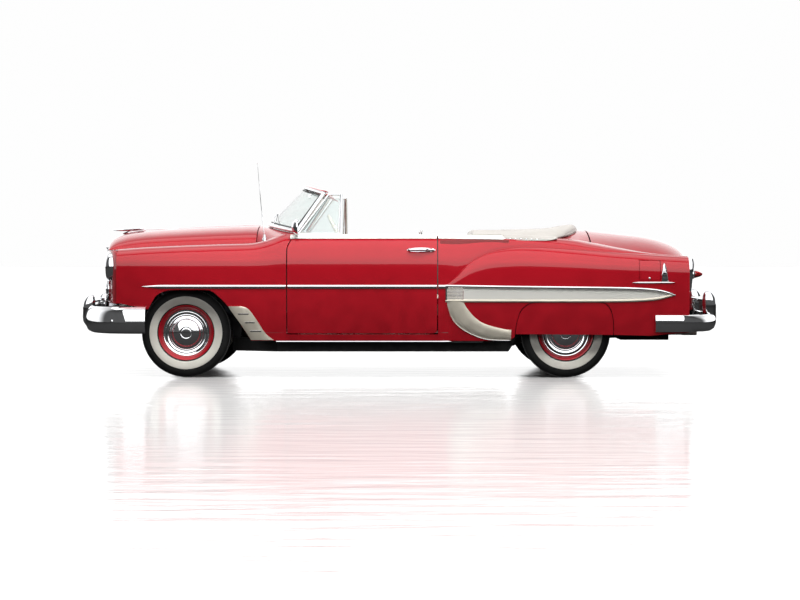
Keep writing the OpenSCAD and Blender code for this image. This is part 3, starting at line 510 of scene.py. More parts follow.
def plating(name, tone, rough, wear):
    f = Finish(name, metallic=1.0, roughness=rough)
    haze = f.noise(14, 5, 0.6)
    f.put("color", f.blend(haze.between(0.35, 0.75), tone, tuple(c * wear for c in tone)))
    f.put("roughness", haze.between(0.3, 0.8, rough, rough * 2.2))
    return f.bump(f.noise(60, 2), 0.01, 0.0005).material


def cloth(name, tone, dark, threads=900):
    # coated cloth with a fine cross weave and slight soiling
    f = Finish(name, roughness=0.7, sheen=0.25)
    x, y, z = f.axis(0), f.axis(1), f.axis(2)
    weave = (x * threads).math("SINE") * (y * threads + z * threads * 0.7).math("SINE")
    f.put("color", f.blend(f.noise(5, 5, 0.6).between(0.35, 0.8), tone, dark))
    f.put("roughness", f.noise(30, 3).between(0.3, 0.7, 0.6, 0.78))
    return f.bump(weave * 0.4 + f.noise(240, 3), 0.16, 0.0006).material


def leatherFinish(name, tone, dark):
    f = Finish(name, roughness=0.45, coat=0.15, coatRoughness=0.3)
    grain = f.node("ShaderNodeTexVoronoi", {"feature": "DISTANCE_TO_EDGE"}, {"Vector": f.coords, "Scale": 330.0})
    f.put("color", f.blend(f.noise(6, 4, 0.6).between(0.3, 0.8), tone, dark))
    f.put("roughness", f.noise(25, 3).between(0.3, 0.7, 0.38, 0.52))
    return f.bump(grain.between(0.0, 0.12) + f.noise(80, 3) * 0.5, 0.2, 0.0008).material


def plain(name, tone, rough, grain=120.0, depth=0.12, metal=0.0, spread=0.7):
    f = Finish(name, roughness=rough, metallic=metal)
    f.put("color", f.blend(f.noise(8, 5, 0.6).between(0.3, 0.75), tone, tuple(c * spread for c in tone)))
    f.put("roughness", f.noise(22, 3).between(0.3, 0.7, rough * 0.85, min(1.0, rough * 1.15)))
    return f.bump(f.noise(grain, 4), depth, 0.0008).material


def clearGlass(name, tone, alpha=0.16):
    f = Finish(name, color=tone, roughness=0.01, ior=1.5, coat=1.0, coatRoughness=0.01)
    f.put("alpha", f.noise(3, 3).between(0.3, 0.7, alpha, alpha + 0.03))
    return f.material


def lensFinish(name, tone, ribs):
    f = Finish(name, color=tone, roughness=0.06, coat=1.0, coatRoughness=0.02)
    f.put("color", f.blend((f.axis(2) * ribs).math("SINE").between(-0.4, 0.9), tone, tuple(c * 0.55 for c in tone)))
    return f.bump((f.axis(2) * ribs).math("SINE") * (f.axis(1) * ribs).math("SINE"), 0.4, 0.001).material


redPaint = enamel("red enamel", (0.31, 0.0028, 0.0095), (0.34, 0.0034, 0.011), 0.55)
ivoryPaint = enamel("ivory enamel", (0.86, 0.85, 0.79), (0.90, 0.89, 0.83))
chrome = plating("chrome plate", (0.86, 0.87, 0.89), 0.035, 0.93)
stainless = plating("stainless steel", (0.70, 0.66, 0.59), 0.16, 0.9)
# beige, partly diffuse steel for the gravel shields and lower quarter strip: the pale beige is a painted reflection of
# the floor
steelPaintedReflection = plain("satin steel", (0.60, 0.555, 0.46), 0.34, 200.0, 0.05, 0.35, 0.9)
chassisBlack = plain("chassis black", (0.02, 0.02, 0.022), 0.55)
underseal = plain("underseal", (0.03, 0.028, 0.027), 0.85, 60.0, 0.5)
rubberBlack = plain("black rubber", (0.018, 0.018, 0.018), 0.6, 260.0, 0.18)
ivoryCloth = cloth("ivory top cloth", (0.40, 0.375, 0.345), (0.35, 0.325, 0.295))
ivoryVinyl = leatherFinish("ivory vinyl", (0.64, 0.60, 0.52), (0.56, 0.52, 0.44))
redVinyl = leatherFinish("red vinyl", (0.32, 0.008, 0.012), (0.24, 0.005, 0.008))
carpet = cloth("red carpet", (0.16, 0.012, 0.014), (0.10, 0.008, 0.010), 2400)
darkTrim = plain("dark trim", (0.03, 0.03, 0.032), 0.45)
castMetal = plain("cast iron", (0.16, 0.17, 0.18), 0.6, 90.0, 0.4, 0.6)
engineBlue = plain("engine enamel", (0.10, 0.16, 0.20), 0.4, 50.0, 0.25)
wheelIvory = enamel("ivory moulding", (0.80, 0.75, 0.62), (0.84, 0.79, 0.66))
windowGlass = clearGlass("window glass", (0.70, 0.85, 0.83))
lampGlass = lensFinish("lamp lens", (0.78, 0.80, 0.82), 420.0)
redLens = lensFinish("red lens", (0.35, 0.004, 0.006), 300.0)
silverMirror = plating("mirror silver", (0.92, 0.93, 0.95), 0.01, 0.99)
trimGrey = plating("ribbed grey insert", (0.42, 0.41, 0.42), 0.35, 0.8)
exhaustMetal = plain("exhaust steel", (0.22, 0.19, 0.17), 0.6, 70.0, 0.3, 0.8)
print("finishes made")

# camera, light and floor

view = {"distance": 17.0, "height": 1.0, "focal": 2106.0, "horizon": 247.6, "width": 800.0, "height px": 600.0}
camera = bpy.data.objects.new("camera", bpy.data.cameras.new("camera"))
bpy.context.scene.collection.objects.link(camera)
camera.location = (0.004, -view["distance"], view["height"])
camera.rotation_euler = (math.pi / 2, 0, 0)
camera.data.sensor_width = 36.0
camera.data.lens = 36.0 * view["focal"] / view["width"]
camera.data.shift_y = (view["horizon"] - view["height px"] / 2) / view["width"]
camera.data.clip_end = 200.0
bpy.context.scene.camera = camera

floor = makeMesh("floor", [(-60000, -40000, 0), (60000, -40000, 0), (60000, 90000, 0), (-60000, 90000, 0)],
                 [(0, 1, 2, 3)])
studio = {"floor": (0.90, 0.89, 0.885), "floor roughness": 0.10, "floor bounce": 0.03, "far wall": 1.35,
    "near dark": 0.10,
          "backdrop": 0.99}


def floorFinish():
    # pale and slightly rippled to the camera, a dim bounce to everything else
    f = Finish("pale floor", color=studio["floor"], roughness=studio["floor roughness"], ior=1.45)
    ripple = f.noise(1.1, 4, 0.55, (1.0, 5.0, 1.0))
    f.bump(ripple, 0.10, 0.05)
    tree, new = f.tree, f.tree.nodes.new
    path, mixer, dim = new("ShaderNodeLightPath"), new("ShaderNodeMixShader"), new("ShaderNodeBsdfDiffuse")
    dim.inputs[0].default_value = (studio["floor bounce"],) * 3 + (1,)
    tree.links.new(path.outputs["Is Camera Ray"], mixer.inputs[0])
    tree.links.new(dim.outputs[0], mixer.inputs[1])
    tree.links.new(f.shader.outputs[0], mixer.inputs[2])
    tree.links.new(mixer.outputs[0], tree.nodes["Material Output"].inputs[0])
    return f.material


floor.data.materials.append(floorFinish())
bpy.context.scene.view_settings.view_transform = "Standard"
world = bpy.data.worlds.new("studio")
bpy.context.scene.world = world
world.use_nodes = True


def studioSky(sky):
    # bright low behind the car, dark behind the camera, near white to the camera itself
    tree, new = sky.node_tree, sky.node_tree.nodes.new
    link = tree.links.new
    coord, split, path, mixer = (new("ShaderNode" + k) for k in ("TexCoord", "SeparateXYZ", "LightPath", "Mix"))
    link(coord.outputs["Generated"], split.inputs[0])

    def fade(socket, low, high, a, b):
        n = new("ShaderNodeMapRange")
        n.interpolation_type = "SMOOTHSTEP"
        link(socket, n.inputs[0])
        for k, v in enumerate((low, high, a, b)):
            n.inputs[k + 1].default_value = v
        return n.outputs[0]

    def product(a, b, operation="MULTIPLY"):
        n = new("ShaderNodeMath")
        n.operation = operation
        for k, v in enumerate((a, b)):
            if isinstance(v, float):
                n.inputs[k].default_value = v
            else:
                link(v, n.inputs[k])
        return n.outputs[0]

    behind = fade(split.outputs[1], -0.15, 0.35, studio["near dark"], studio["far wall"])
    above = fade(split.outputs[2], 0.35, 0.9, 1.0, 0.35)
    ground = fade(split.outputs[2], -0.03, 0.0, 0.12, 1.0)
    level = product(product(behind, above), ground)
    mixer.data_type = "RGBA"
    link(path.outputs["Is Camera Ray"], mixer.inputs[0])
    link(level, mixer.inputs[6])
    mixer.inputs[7].default_value = (studio["backdrop"],) * 3 + (1,)
    link(mixer.outputs[2], tree.nodes["Background"].inputs[0])


studioSky(world)


def softBox(name, at, aim, size, radiance, seen=(True, True)):
    lamp = bpy.data.lights.new(name, "AREA")
    lamp.shape, lamp.size, lamp.size_y = "RECTANGLE", size[0], size[1]
    lamp.energy = radiance * math.pi * size[0] * size[1]
    obj = bpy.data.objects.new(name, lamp)
    obj.location = at
    obj.rotation_euler = (Vector(aim) - Vector(at)).to_track_quat("-Z", "Y").to_euler()
    obj.visible_camera, obj.visible_glossy, obj.visible_diffuse = False, *seen
    bpy.context.scene.collection.objects.link(obj)


for k in range(6):
    softBox("near bank %d" % k, (0, -5.5, 5.07), (0, 1.35, 0.07), (11.5, 9.8 - 0.55 * k), 1.9,
        (True, False))  # graded edges
softBox("high key", (0, -4.6, 9.0), (0, -0.9, 1.0), (13, 3.2), 12, (False, True))
softBox("overhead", (0, 1.0, 7.5), (0, 1.0, 0), (13, 4.5), 1.3)
softBox("foreground", (0, -12.5, 6.0), (0, -12.5, 0), (20, 8), 1.1, (False, True))
print("camera and studio set")

# outlines in the side view

f0, r0 = frontAxle, rearAxle
archLine = spline([[f0 + x, z] for x, z in ((-282, 528), (-256, 575), (-224, 626), (-184, 655), (-136, 671), (-58, 677),
                                            (60, 677), (175, 676), (210, 665), (234, 650), (292, 596), (341, 538),
                                            (428, 412), (508, sillZ - 1))], 4)
skirtLine = spline([[r0 + x, z] for x,
    z in ((-392, 339), (-384, 400), (-372, 457), (-345, 521), (-292, 564), (-228, 579),
                                             (0, 580), (240, 579), (302, 560), (336, 512), (352, 438), (357, 333))], 4)
frontShut = [(shutX(z), z) for z in [sillZ, 500, 800, 985, 1005, 1020, 1035, 1050, 1065, 1080, 1095, 1120, 1140]]
fenderOutline = ([(noseX - 60, 600), (fenderX + 40, 570)] + archLine
                 + [(x - gap / 2, z) for x, z in frontShut] + [(noseX - 60, 1140)])


def grown(line, d):
    return [(x + (-d if x < r0 else d), z + (d if z > 500 else 0)) for x, z in line]


quarterOutline = ([(lockLine + gap / 2, sillZ), (r0 - 440, sillZ), (r0 - 398, sillZ + 30)] + grown(skirtLine, 5)
                  + [(r0 + 640, 326), (tailX, 350), (tailX, 1200), (lockLine + gap / 2, 1200)])
doorOutline = ([(x + gap / 2, z) for x, z in frontShut if 340 < z < 1121]
               + [(lockLine - gap / 2, 1120), (lockLine - gap / 2, 343 + 26), (lockLine - gap / 2 - 8, 351),
                  (lockLine - gap / 2 - 28, 343), (shutX(343) + gap / 2, 343)])


def insetRow(row, t):
    out = []
    for j, p in enumerate(row):
        a, b = row[max(j - 1, 0)], row[min(j + 1, len(row) - 1)]
        d = (b[0] - a[0], b[1] - a[1])
        n = math.hypot(*d) or 1.0
        out.append([p[0] - t * d[1] / n, p[1] + t * d[0] / n])
    return out


def sideShell(name, xs, section, t):
    rows = [section(x) for x in xs]
    return slab(name, [[(x, *p) for p in row] for x, row in zip(xs, rows)],
                [[(x, *p) for p in insetRow(row, t)] for x, row in zip(xs, rows)])


# painted panels

def bothSides(right, name, bodies, slot, finish, nodes):
    left = mirrored(right, name + " left")
    place(left, bodies[0], slot, finish, [nodes + "_left"] if nodes else ())
    place(right, bodies[1], slot, finish, [nodes + "_right"] if nodes else (), name + " right")
    return left, right


panels = {"sheet": 5.0, "fender stations": 90, "quarter stations": 120}
fender = sideShell("fender", steps(fenderX, hingeLine + 70, panels["fender stations"]), frontSection, panels["sheet"])
smooth(cut(fender, prism("outline", fenderOutline)))
bothSides(fender, "front fender", ("root", "root"), "red_paint", redPaint, "front_fender")

quarter = sideShell("quarter", steps(lockLine, tailX, panels["quarter stations"]), quarterSection, panels["sheet"])
smooth(cut(quarter, prism("outline", quarterOutline)))
flapX, flapZ = (r0 + 550, r0 + 714), (751, 903)
leftQuarter = mirrored(quarter, "rear quarter left")
cut(leftQuarter, block("flap hole", (flapX[0], -1200, flapZ[0]), (flapX[1], -850, flapZ[1])), "DIFFERENCE")
smooth(leftQuarter)
place(leftQuarter, "root", "red_paint", redPaint, ["rear_quarter_left"])
place(quarter, "root", "red_paint", redPaint, ["rear_quarter_right"], "rear quarter right")

skirt = sideShell("skirt", steps(r0 - 450, r0 + 420, 40), quarterSection, panels["sheet"])
smooth(cut(skirt, prism("outline", skirtLine)))
skirtLeft, skirtRight = bothSides(skirt, "fender skirt", ("root", "root"), "red_paint", redPaint, None)
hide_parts("fender_skirts")

doorZ = [343 - 10] + steps(360, 1060, 36) + [1070, 1080, 1088, beltZ]
doorX = steps(hingeLine - 10, lockLine + 10, 60)
door = slab("door", [[(x, doorY(z), z) for z in doorZ] for x in doorX],
    [[(x, doorIn(z), z) for z in doorZ] for x in doorX])
cut(door, prism("outline", doorOutline))
hinge = (hingeLine + gap / 2 + 13, sideW - 8)
swing = prism("swing", [(hinge[0] + math.hypot(lockLine - gap / 2 - hinge[0], 20) * math.cos(a),
                         hinge[1] + math.hypot(lockLine - gap / 2 - hinge[0], 20) * math.sin(a))
                        for a in steps(-math.pi, math.pi, 240)[:-1]], 300, 1400, "XY")
smooth(cut(door, swing))
bothSides(door, "door", ("door_left", "door_right"), "red_paint", redPaint, "door")

sillX = (shutX(sillZ) - gap / 2 + 0.4, lockLine + gap / 2 - 0.4)
sill = slab("sill", [[(x, doorY(z), z) for z in steps(sillZ, 335, 4)] for x in sillX],
            [[(x, doorY(z) - 110, z) for z in steps(sillZ, 335, 4)] for x in sillX])
sillLeft, sillRight = bothSides(sill, "sill", ("root", "root"), "red_paint", redPaint, None)
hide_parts("sills")
print("side panels made")


def planNose(y):
    return 157 * (abs(y) / 900) ** 2


hoodLine = spline([(hoodRear, 1178), (f0 + 437, 1178), (f0 + 200, 1170), (f0 - 48, 1158), (f0 - 250, 1146),
                   (f0 - 403, 1134), (f0 - 530, 1116), (f0 - 613, 1090), (f0 - 652, 1062), (f0 - 672, 1034),
                   (noseX, 990)], 6)


def hoodRow(p, t):
    f = ramp(-p[0], -(f0 - 420), -noseX)
    zs = mix(min(crownZ(p[0]) - 4, 1034), 982, f)
    h, w = p[1] - zs, hoodHalf - t
    row = []
    for a in steps(-90, 90, 60):
        y = w * math.sin(math.radians(a))
        row.append((p[0] + planNose(y) * ramp(-p[0], -(f0 - 300), -noseX) + t * f, y,
                    zs + max(h - t, 2) * max(math.cos(math.radians(a)), 0) ** 0.9))
    return row


hood = slab("hood", [hoodRow(p, 0) for p in hoodLine], [hoodRow(p, 20) for p in hoodLine])
place(smooth(hood), "hood", "red_paint", redPaint, ["hood"], "hood panel")


def screenPoint(a, h):
    bend, drop = abs(a) ** 2.4, a * a
    foot = (f0 + 600 + 255 * bend, (halfWidth - 212) * a, 1186 - 60 * drop)
    head = (f0 + 888 + 168 * bend, (halfWidth - 332) * a, 1481 - 60 * drop)
    return mix(foot, head, h)


screenR = 17.0


def cowlRow(s, t):
    def foot(a):
        p = screenPoint(a, 0)
        return [p[0] + 10, p[1], p[2] - screenR - 3]

    def front(a):
        return [hoodRear + gap, hoodHalf * math.sin(a * math.pi / 2),
                1034 + 144 * max(math.cos(a * math.pi / 2), 0) ** 0.9]

    x = mix(front(1)[0], foot(1)[0], s)
    p = frontSection(min(x, hingeLine - gap))[-1]
    dy = min(p[0] - 3, halfWidth - 202) - mix(front(1)[1], foot(1)[1], s)
    dz = mix(p[1], foot(1)[2], ramp(x, hingeLine - gap, foot(1)[0])) - mix(front(1)[2], foot(1)[2], s)
    row = []
    for a in steps(-1, 1, 60):
        q, w = mix(front(a), foot(a), s), abs(a) ** 5
        row.append((q[0], q[1] + math.copysign(w * dy, a), q[2] + w * dz - t))
    return row


cowl = slab("cowl", [cowlRow(s, 0) for s in steps(0, 1, 30)], [cowlRow(s, 8) for s in steps(0, 1, 30)])
place(smooth(cowl), "root", "red_paint", redPaint, ["cowl"], "cowl panel")

lidRows = [(r0 + 214, 1139, r0 + 214, edgeZ(r0 + 214) + 2), (r0 + 340, 1126, r0 + 340, edgeZ(r0 + 340)),
           (r0 + 500, 1108, r0 + 500, edgeZ(r0 + 500)), (r0 + 670, 1087, r0 + 670, edgeZ(r0 + 670)),
           (r0 + 800, 1058, r0 + 800, edgeZ(r0 + 800)), (r0 + 900, 1020, r0 + 880, edgeZ(r0 + 880)),
           (r0 + 960, 978, r0 + 925, 925), (r0 + 990, 930, r0 + 950, 880), (r0 + 1005, 860, r0 + 962, 820),
           (r0 + 1010, 760, r0 + 968, 740), (r0 + 1010, 650, r0 + 968, 650)]
lidRows = spline(lidRows, 6)


def lidRow(i, t):
    r = lidRows[i]
    k = i / 6
    tx, tz = (0, t) if k < 4 else ((t, 0) if k > 8 else (t * (k - 3) / 6, t * (9 - k) / 6))
    return [(mix(r[0], r[2], a * a) - tx, trunkHalf * a, mix(r[1], r[3], abs(a) ** 2.2) - tz) for a in steps(-1, 1, 60)]


lid = slab("lid", [lidRow(i, 0) for i in range(len(lidRows))], [lidRow(i, 20) for i in range(len(lidRows))])
place(smooth(lid), "trunk_lid", "red_paint", redPaint, ["trunk_lid"], "trunk lid panel")

deckFront, lidFront = r0 + 116, r0 + 207


def deckRow(x, t):
    return [(x, (edgeY(x) - 10) * a, mix(1147 - (x - deckFront) * 0.09, edgeZ(x), abs(a) ** 2.2) - t)
            for a in steps(-1, 1, 60)]


deck = slab("deck", [deckRow(x, 0) for x in steps(deckFront - 60, lidFront - gap / 2, 14)],
            [deckRow(x, 8) for x in steps(deckFront - 60, lidFront - gap / 2, 14)])
place(smooth(deck), "root", "red_paint", redPaint, (), "rear_deck")
wings = []
for side in (-1, 1):
    rows = [[(x, side * (edgeY(x) - 3) * a,
        mix(mix(1112, 1143, ramp(x, rearAxle, deckFront - 60)), edgeZ(x), a ** 2.2) - t)
             for a in steps(0.62, 1, 14)]
            for t in (0, 6) for x in steps(rearAxle - 130, deckFront + 8, 16)]
    wings.append(slab("wing", rows[:17], rows[17:]))
place(smooth(join("deck_sides", wings)), "root", "red_paint", redPaint)


def tailPlan(y):
    return r0 + 1012 - 78 * (abs(y) / 800) ** 2


def tailRow(z, t):
    k = upperY(tailX, z) + (quarterW(tailX) - upperW(tailX)) * swell((z - 620) / (crestZ(tailX) - 620)) - 7
    return [(tailPlan(y) - t, y, z) for y in steps(-k, k, 48)]


tailZ = [924, 915, 905, 890, 870, 830, 760, 700, 640, 560, 500, 462]
tail = slab("tail", [tailRow(z, 0) for z in tailZ], [tailRow(z, 6) for z in tailZ])
cut(tail, block("lid opening", (r0 + 700, -trunkHalf - gap, 642), (r0 + 1100, trunkHalf + gap, 1200)), "DIFFERENCE")
place(smooth(tail), "root", "red_paint", redPaint, ["tail_panel"], "tail panel")

# nose panel with the openings for the grille and the headlamps
noseHalf, grilleZ, lampY, lampZ = frontW(fenderX) - 2, (585, 765), 690, 854
grilleMid, grilleR = sum(grilleZ) / 2, (grilleZ[1] - grilleZ[0]) / 2


def stadium(half, radius, centre=(0, grilleMid), count=24):
    right = [(centre[0] + half + radius * math.cos(a), centre[1] + radius * math.sin(a))
             for a in steps(-math.pi / 2, math.pi / 2, count)]
    return right + [(2 * centre[0] - y, 2 * centre[1] - z) for y, z in right]


def noseRow(z, t):
    wide = noseHalf - max(0.0, frontW(fenderX) - frontSectionY(z))
    return [(noseX + planNose(y) + t + 26 * max(0, (abs(y) - wide + 70) / 70) ** 2.4, y, z) for y in steps(wide, -wide,
        90)]


def frontSectionY(z):
    row = [p for p in frontSection(fenderX) if p[0] > 500]
    for p, q in zip(row, row[1:]):
        if p[1] <= z <= q[1]:
            return mix(p[0], q[0], (z - p[1]) / max(q[1] - p[1], 1e-6))
    return row[0][0] if z < row[0][1] else row[-1][0]


noseZ = steps(570, 960, 12) + [966, 972, 978]
nose = slab("nose", [noseRow(z, 0) for z in noseZ], [noseRow(z, 6) for z in noseZ])
cut(nose, prism("grille hole", stadium(560, grilleR), -4000, 0, "YZ"), "DIFFERENCE")
for y in (-lampY, lampY):
    cut(nose, prism("lamp hole", [(y + 116 * math.cos(a), lampZ + 116 * math.sin(a))
                                  for a in steps(0, 2 * math.pi, 64)[:-1]], -4000, 0, "YZ"), "DIFFERENCE")
place(smooth(nose), "root", "red_paint", redPaint, ["nose_panel"], "nose panel")
print("hood, cowl, deck, lid, tail and nose made")

# bright work on the sides


def strip(name, line, sides=9, back=3.0):
    # moulding laid on the body side: line of (x, z, half height, proud)
    rings = []
    for x, z, half, proud in line:
        ring = []
        for a in steps(-90, 90, sides):
            s, c = math.sin(math.radians(a)), math.cos(math.radians(a))
            ring.append((x, sideY(x, z + half * s) + proud * c ** 0.7 * 1.0, z + half * s))
        ring += [(x, sideY(x, z + half * v) - back, z + half * v) for v in (0.6, -0.6)]
        rings.append(ring)
    return smooth(loft(name, rings), 50)


def patch(name, top, bottom, proud, across=10, back=3.0, crown=0.0):
    outer, inner = [], []
    for p, q in zip(top, bottom):
        row = [mix(p, q, v) for v in steps(0, 1, across)]
        edge = [1 - abs(2 * v - 1) ** 3 for v in steps(0, 1, across)]
        outer.append([(x, sideY(x, z) + proud + crown * e, z) for (x, z), e in zip(row, edge)])
        inner.append([(x, sideY(x, z) - back, z) for x, z in row])
    return smooth(slab(name, outer, inner), 40)


def pair(obj, name, body, slot, finish, nodes=None):
    bodies = body if isinstance(body, tuple) else (body, body)
    return bothSides(obj, name, bodies, slot, finish, nodes)


doorBodies = ("door_left", "door_right")
spear = {"z": 701, "half": 15, "proud": 9}
for name, body, x0, x1 in (("fender_spear", "root", -1972, hingeLine - 7),
                           ("door_spear", doorBodies, hingeLine + 7, lockLine - 7),
                           ("quarter_spear", "root", lockLine + 7, 372)):
    line = []
    for x in steps(x0, x1, 40):
        grow = min(1.0, 0.14 + ((x + 1972) / 170) ** 0.8) if x < -1800 else 1.0
        line.append((x, spear["z"], spear["half"] * grow, spear["proud"] * grow))
    pair(strip(name, line), name, body, "stainless", chrome)
    low = [(x, z - h + 3.5, 3.2, p * 0.9) for x, z, h, p in line[2:]]
    pair(strip(name + "_shade", low, 5), name + "_shade", body, "black_paint", darkTrim)


def quarterTop(x):
    return curve(x, [(352, 717), (900, 709), (1500, 702), (1800, 696), (1960, 684), (2060, 662), (2112, 641)])


def quarterLow(x):
    return curve(x, [(352, 582), (900, 581), (1500, 581), (1800, 585), (1960, 597), (2060, 619), (2112, 637)])


bandX = steps(352, 2108, 110)
upperLine = [(x, quarterTop(x) - min(10, (quarterTop(x) - quarterLow(x)) / 2),
    min(11, (quarterTop(x) - quarterLow(x)) / 2), 11)
             for x in bandX]
lowerLine = [(x, quarterLow(x) + min(11, (quarterTop(x) - quarterLow(x)) / 2),
    min(11, (quarterTop(x) - quarterLow(x)) / 2), 10)
             for x in bandX]
pair(strip("quarter_upper", upperLine), "quarter_upper", "root", "stainless", chrome)
pair(strip("quarter_lower", lowerLine), "quarter_lower", "root", "stainless", steelPaintedReflection)
insetX = [x for x in steps(488, 2090, 100) if quarterTop(x) - quarterLow(x) > 34]
pair(patch("quarter_insert", [(x, quarterTop(x) - 17) for x in insetX], [(x, quarterLow(x) + 18) for x in insetX], 2.0,
    8),
     "quarter_insert", "root", "ivory_paint", ivoryPaint)
ribX = steps(356, 486, 4)
ribs = patch("quarter_ribs", [(x, 697) for x in ribX], [(x, 602) for x in ribX], 2.0, 8)
pair(ribs, "quarter_ribs", "root", "dark_trim", trimGrey)
for k in range(9):
    z = 607 + k * 10.6
    pair(strip("rib", [(x, z, 3.0, 5.0) for x in (357, 484)], 5), "insert_rib_%d" % k, "root", "stainless", stainless)
pair(patch("quarter_band", [(352, 700), (362, 700)], [(352, 598), (362, 598)], 9.0, 4), "quarter_band", "root",
     "stainless", chrome)

# gravel shields, in steel with a painted floor reflection
frontIn = spline([(-1308, 551), (-1291, 520), (-1215, 414), (-1176, 354), (-1137, 292)], 6)
frontOut = spline([(-1210, 551), (-1158, 532), (-1101, 458), (-1027, 344), (-965, 292)], 6)
pair(patch("front_shield", frontIn, frontOut, 4.0, 10, 3.0, 4.0), "front_shield", "root", "stainless", steelPaintedReflection)
for k, z in enumerate((490, 425, 358)):
    inner = [p[0] for p in frontIn if p[1] <= z][0] + 32
    outerX = [p[0] for p in frontOut if p[1] <= z][0] - 30
    # black bars laid in the shield's indents are painted shade in the recesses, each with a chrome lip above
    pair(strip("slot",
        [(x, z, 5.5 * min(1, 0.3 + min(x - inner, outerX - x) / 8), 9.5) for x in steps(inner, outerX, 14)], 6),
         "shield_slot_%d" % k, "root", "dark_trim", darkTrim)
    pair(strip("lip", [(x, z + 7.5, 2.4, 11.0) for x in steps(inner + 2, outerX - 2, 8)], 6),
         "shield_lip_%d" % k, "root", "stainless", chrome)
rearOut = spline([(361, 588), (372, 540), (397, 470), (440, 412), (499, 367), (580, 326), (667, 299), (760, 291),
    (847, 290)], 5)
rearIn = spline([(488, 588), (508, 548), (540, 505), (572, 470), (622, 432), (690, 404), (750, 388), (806, 376),
    (849, 370)], 5)
pair(patch("rear_shield", rearIn, rearOut, 3.0, 12, 3.0, 7.0), "rear_shield", "root", "stainless", steelPaintedReflection)
pair(strip("shield_edge", [(a[0] - 5, a[1], 3.6, 12) for a in rearOut[3:]], 6), "rear_shield_edge", "root",
    "stainless", chrome)
pair(patch("shield_end", [(835, 371), (853, 371)], [(833, 289), (851, 289)], 8.0, 6, 3.0, 5.0), "rear_shield_end",
    "root",
     "stainless", steelPaintedReflection)

# sill strips
for name, x0, x1, z, half in (("sill_strip", -945, 640, sillZ - 7, 6.5),):
    bar = [[(x, sideY(0, sillZ) + o, z + h) for o, h in ((-14, -half), (-3, -half), (1, 0), (-3, half), (-14, half))]
           for x in (x0, x1)]
    pair(smooth(loft(name, bar), 40), name, "root", "stainless", chrome)


def shoulderY(x, z):
    # half width of the quarter above its crest
    c, top = crestZ(x) + 3, edgeZ(x)
    turn = math.asin(min(max((z - c) / (top - c), 0), 1))
    rolled = edgeY(x) + (upperY(x, c) - edgeY(x)) * math.cos(turn)
    return mix(upperY(x, z), rolled, ramp(x, lockLine, lockLine + 500))


# belt rails and lock pins
def beltRail(x0, x1):
    outer, inner = [], []
    for x in steps(x0, x1, 60):
        e = (edgeY(x), edgeZ(x)) if x > lockLine else (doorY(beltZ), beltZ)
        row = [(e[0] + 4, e[1] - 27), (e[0] + 6.5, e[1] - 18), (e[0] + 5, e[1] - 4), (e[0] - 1, e[1] + 2.5),
            (e[0] - 14, e[1] + 4),
               (e[0] - 30, e[1] + 2)]
        if x > lockLine:
            row = [(shoulderY(x, e[1] - d) + (3.8 if d < 27 else 1.5), e[1] - d) for d in (27, 24, 20, 16, 12, 8, 5, 3)]
            row += [(e[0] + 6, e[1] + 3)] + [(e[0] - d, e[1] + 4) for d in (1, 14, 30)]
        else:
            for k, lift in enumerate((1.5, 3.5, 4.0)):
                row[k] = (max(row[k][0], sideY(x, row[k][1]) + lift), row[k][1])
            row = spline(row, 4)
        outer.append([(x, *p) for p in row])
        inner.append([(x, y - 2.5, z - 2.5) for x, y, z in outer[-1]])
    return smooth(slab("belt", outer, inner), 50)


pair(beltRail(hingeLine + 24, lockLine - 6), "door_belt", doorBodies, "stainless", ivoryPaint)
pair(beltRail(lockLine + 6, 800), "quarter_belt", "root", "stainless", ivoryPaint)
for name, body, x0, x1 in (("door_belt_shade", doorBodies, hingeLine + 10, lockLine - 7),
                           ("quarter_belt_shade", "root", lockLine + 7, 796)):
    rod = [(x, shoulderY(x, edgeZ(x) - 30) if x > lockLine else sideY(x, beltZ - 30),
        (edgeZ(x) if x > lockLine else beltZ) - 30)
           for x in steps(x0, x1, 40)]
    pair(tube(name, rod, 2.6, 8), name, body, "black_paint", darkTrim)
pin = lathe("lock_pin", [(0, 0), (4, 0), (4.4, 22), (8, 26), (9, 32), (7, 37), (0, 39)],
    (170, doorY(beltZ) - 27, beltZ), "Z", 1, 20)
pair(smooth(pin), "lock_pin", doorBodies, "chrome_trim", chrome)

# door handles: bar on two feet, push button behind
handle = {"x": (66, 244), "z": 982, "bar": 9, "proud": 34}
bar = []
for s in steps(0, 1, 24):
    x = mix(handle["x"][0], handle["x"][1], s)
    bar.append((x,
        sideY(x, 982) + handle["proud"] * (math.sin(math.pi * min(1, 0.1 + s * 1.0)) ** 0.35 if s < 0.9 else 0.8),
                handle["z"] + 3 * math.sin(math.pi * s)))
grip = tube("grip", bar, [6 + 5 * math.sin(math.pi * s) ** 0.5 for s in steps(0, 1, 24)], 14, 1.0)
feet = [lathe("foot", [(0, 0), (15, 0), (14, 5), (9, 10), (8, 32), (0, 34)], (x, sideY(x, 982) - 2, 982), "Y", 1, 24)
        for x in (76, 236)]
button = lathe("button", [(0, 0), (13, 0), (13, 16), (11, 19), (0, 20)], (256, sideY(256, 982) - 1, 982), "Y", 1, 32)
plate = patch("plate",
    [(x, 982 + 15 * math.sin(math.pi * s) ** 0.6 + 3) for s, x in zip(steps(0, 1, 16), steps(58, 274, 16))],
              [(x, 982 - 15 * math.sin(math.pi * s) ** 0.6 - 3) for s, x in zip(steps(0, 1, 16), steps(58, 274, 16))],
                  1.5, 6)
pair(smooth(join("door_handle", [grip] + feet + [button, plate]), 45), "door_handle", doorBodies, "chrome_trim", chrome)

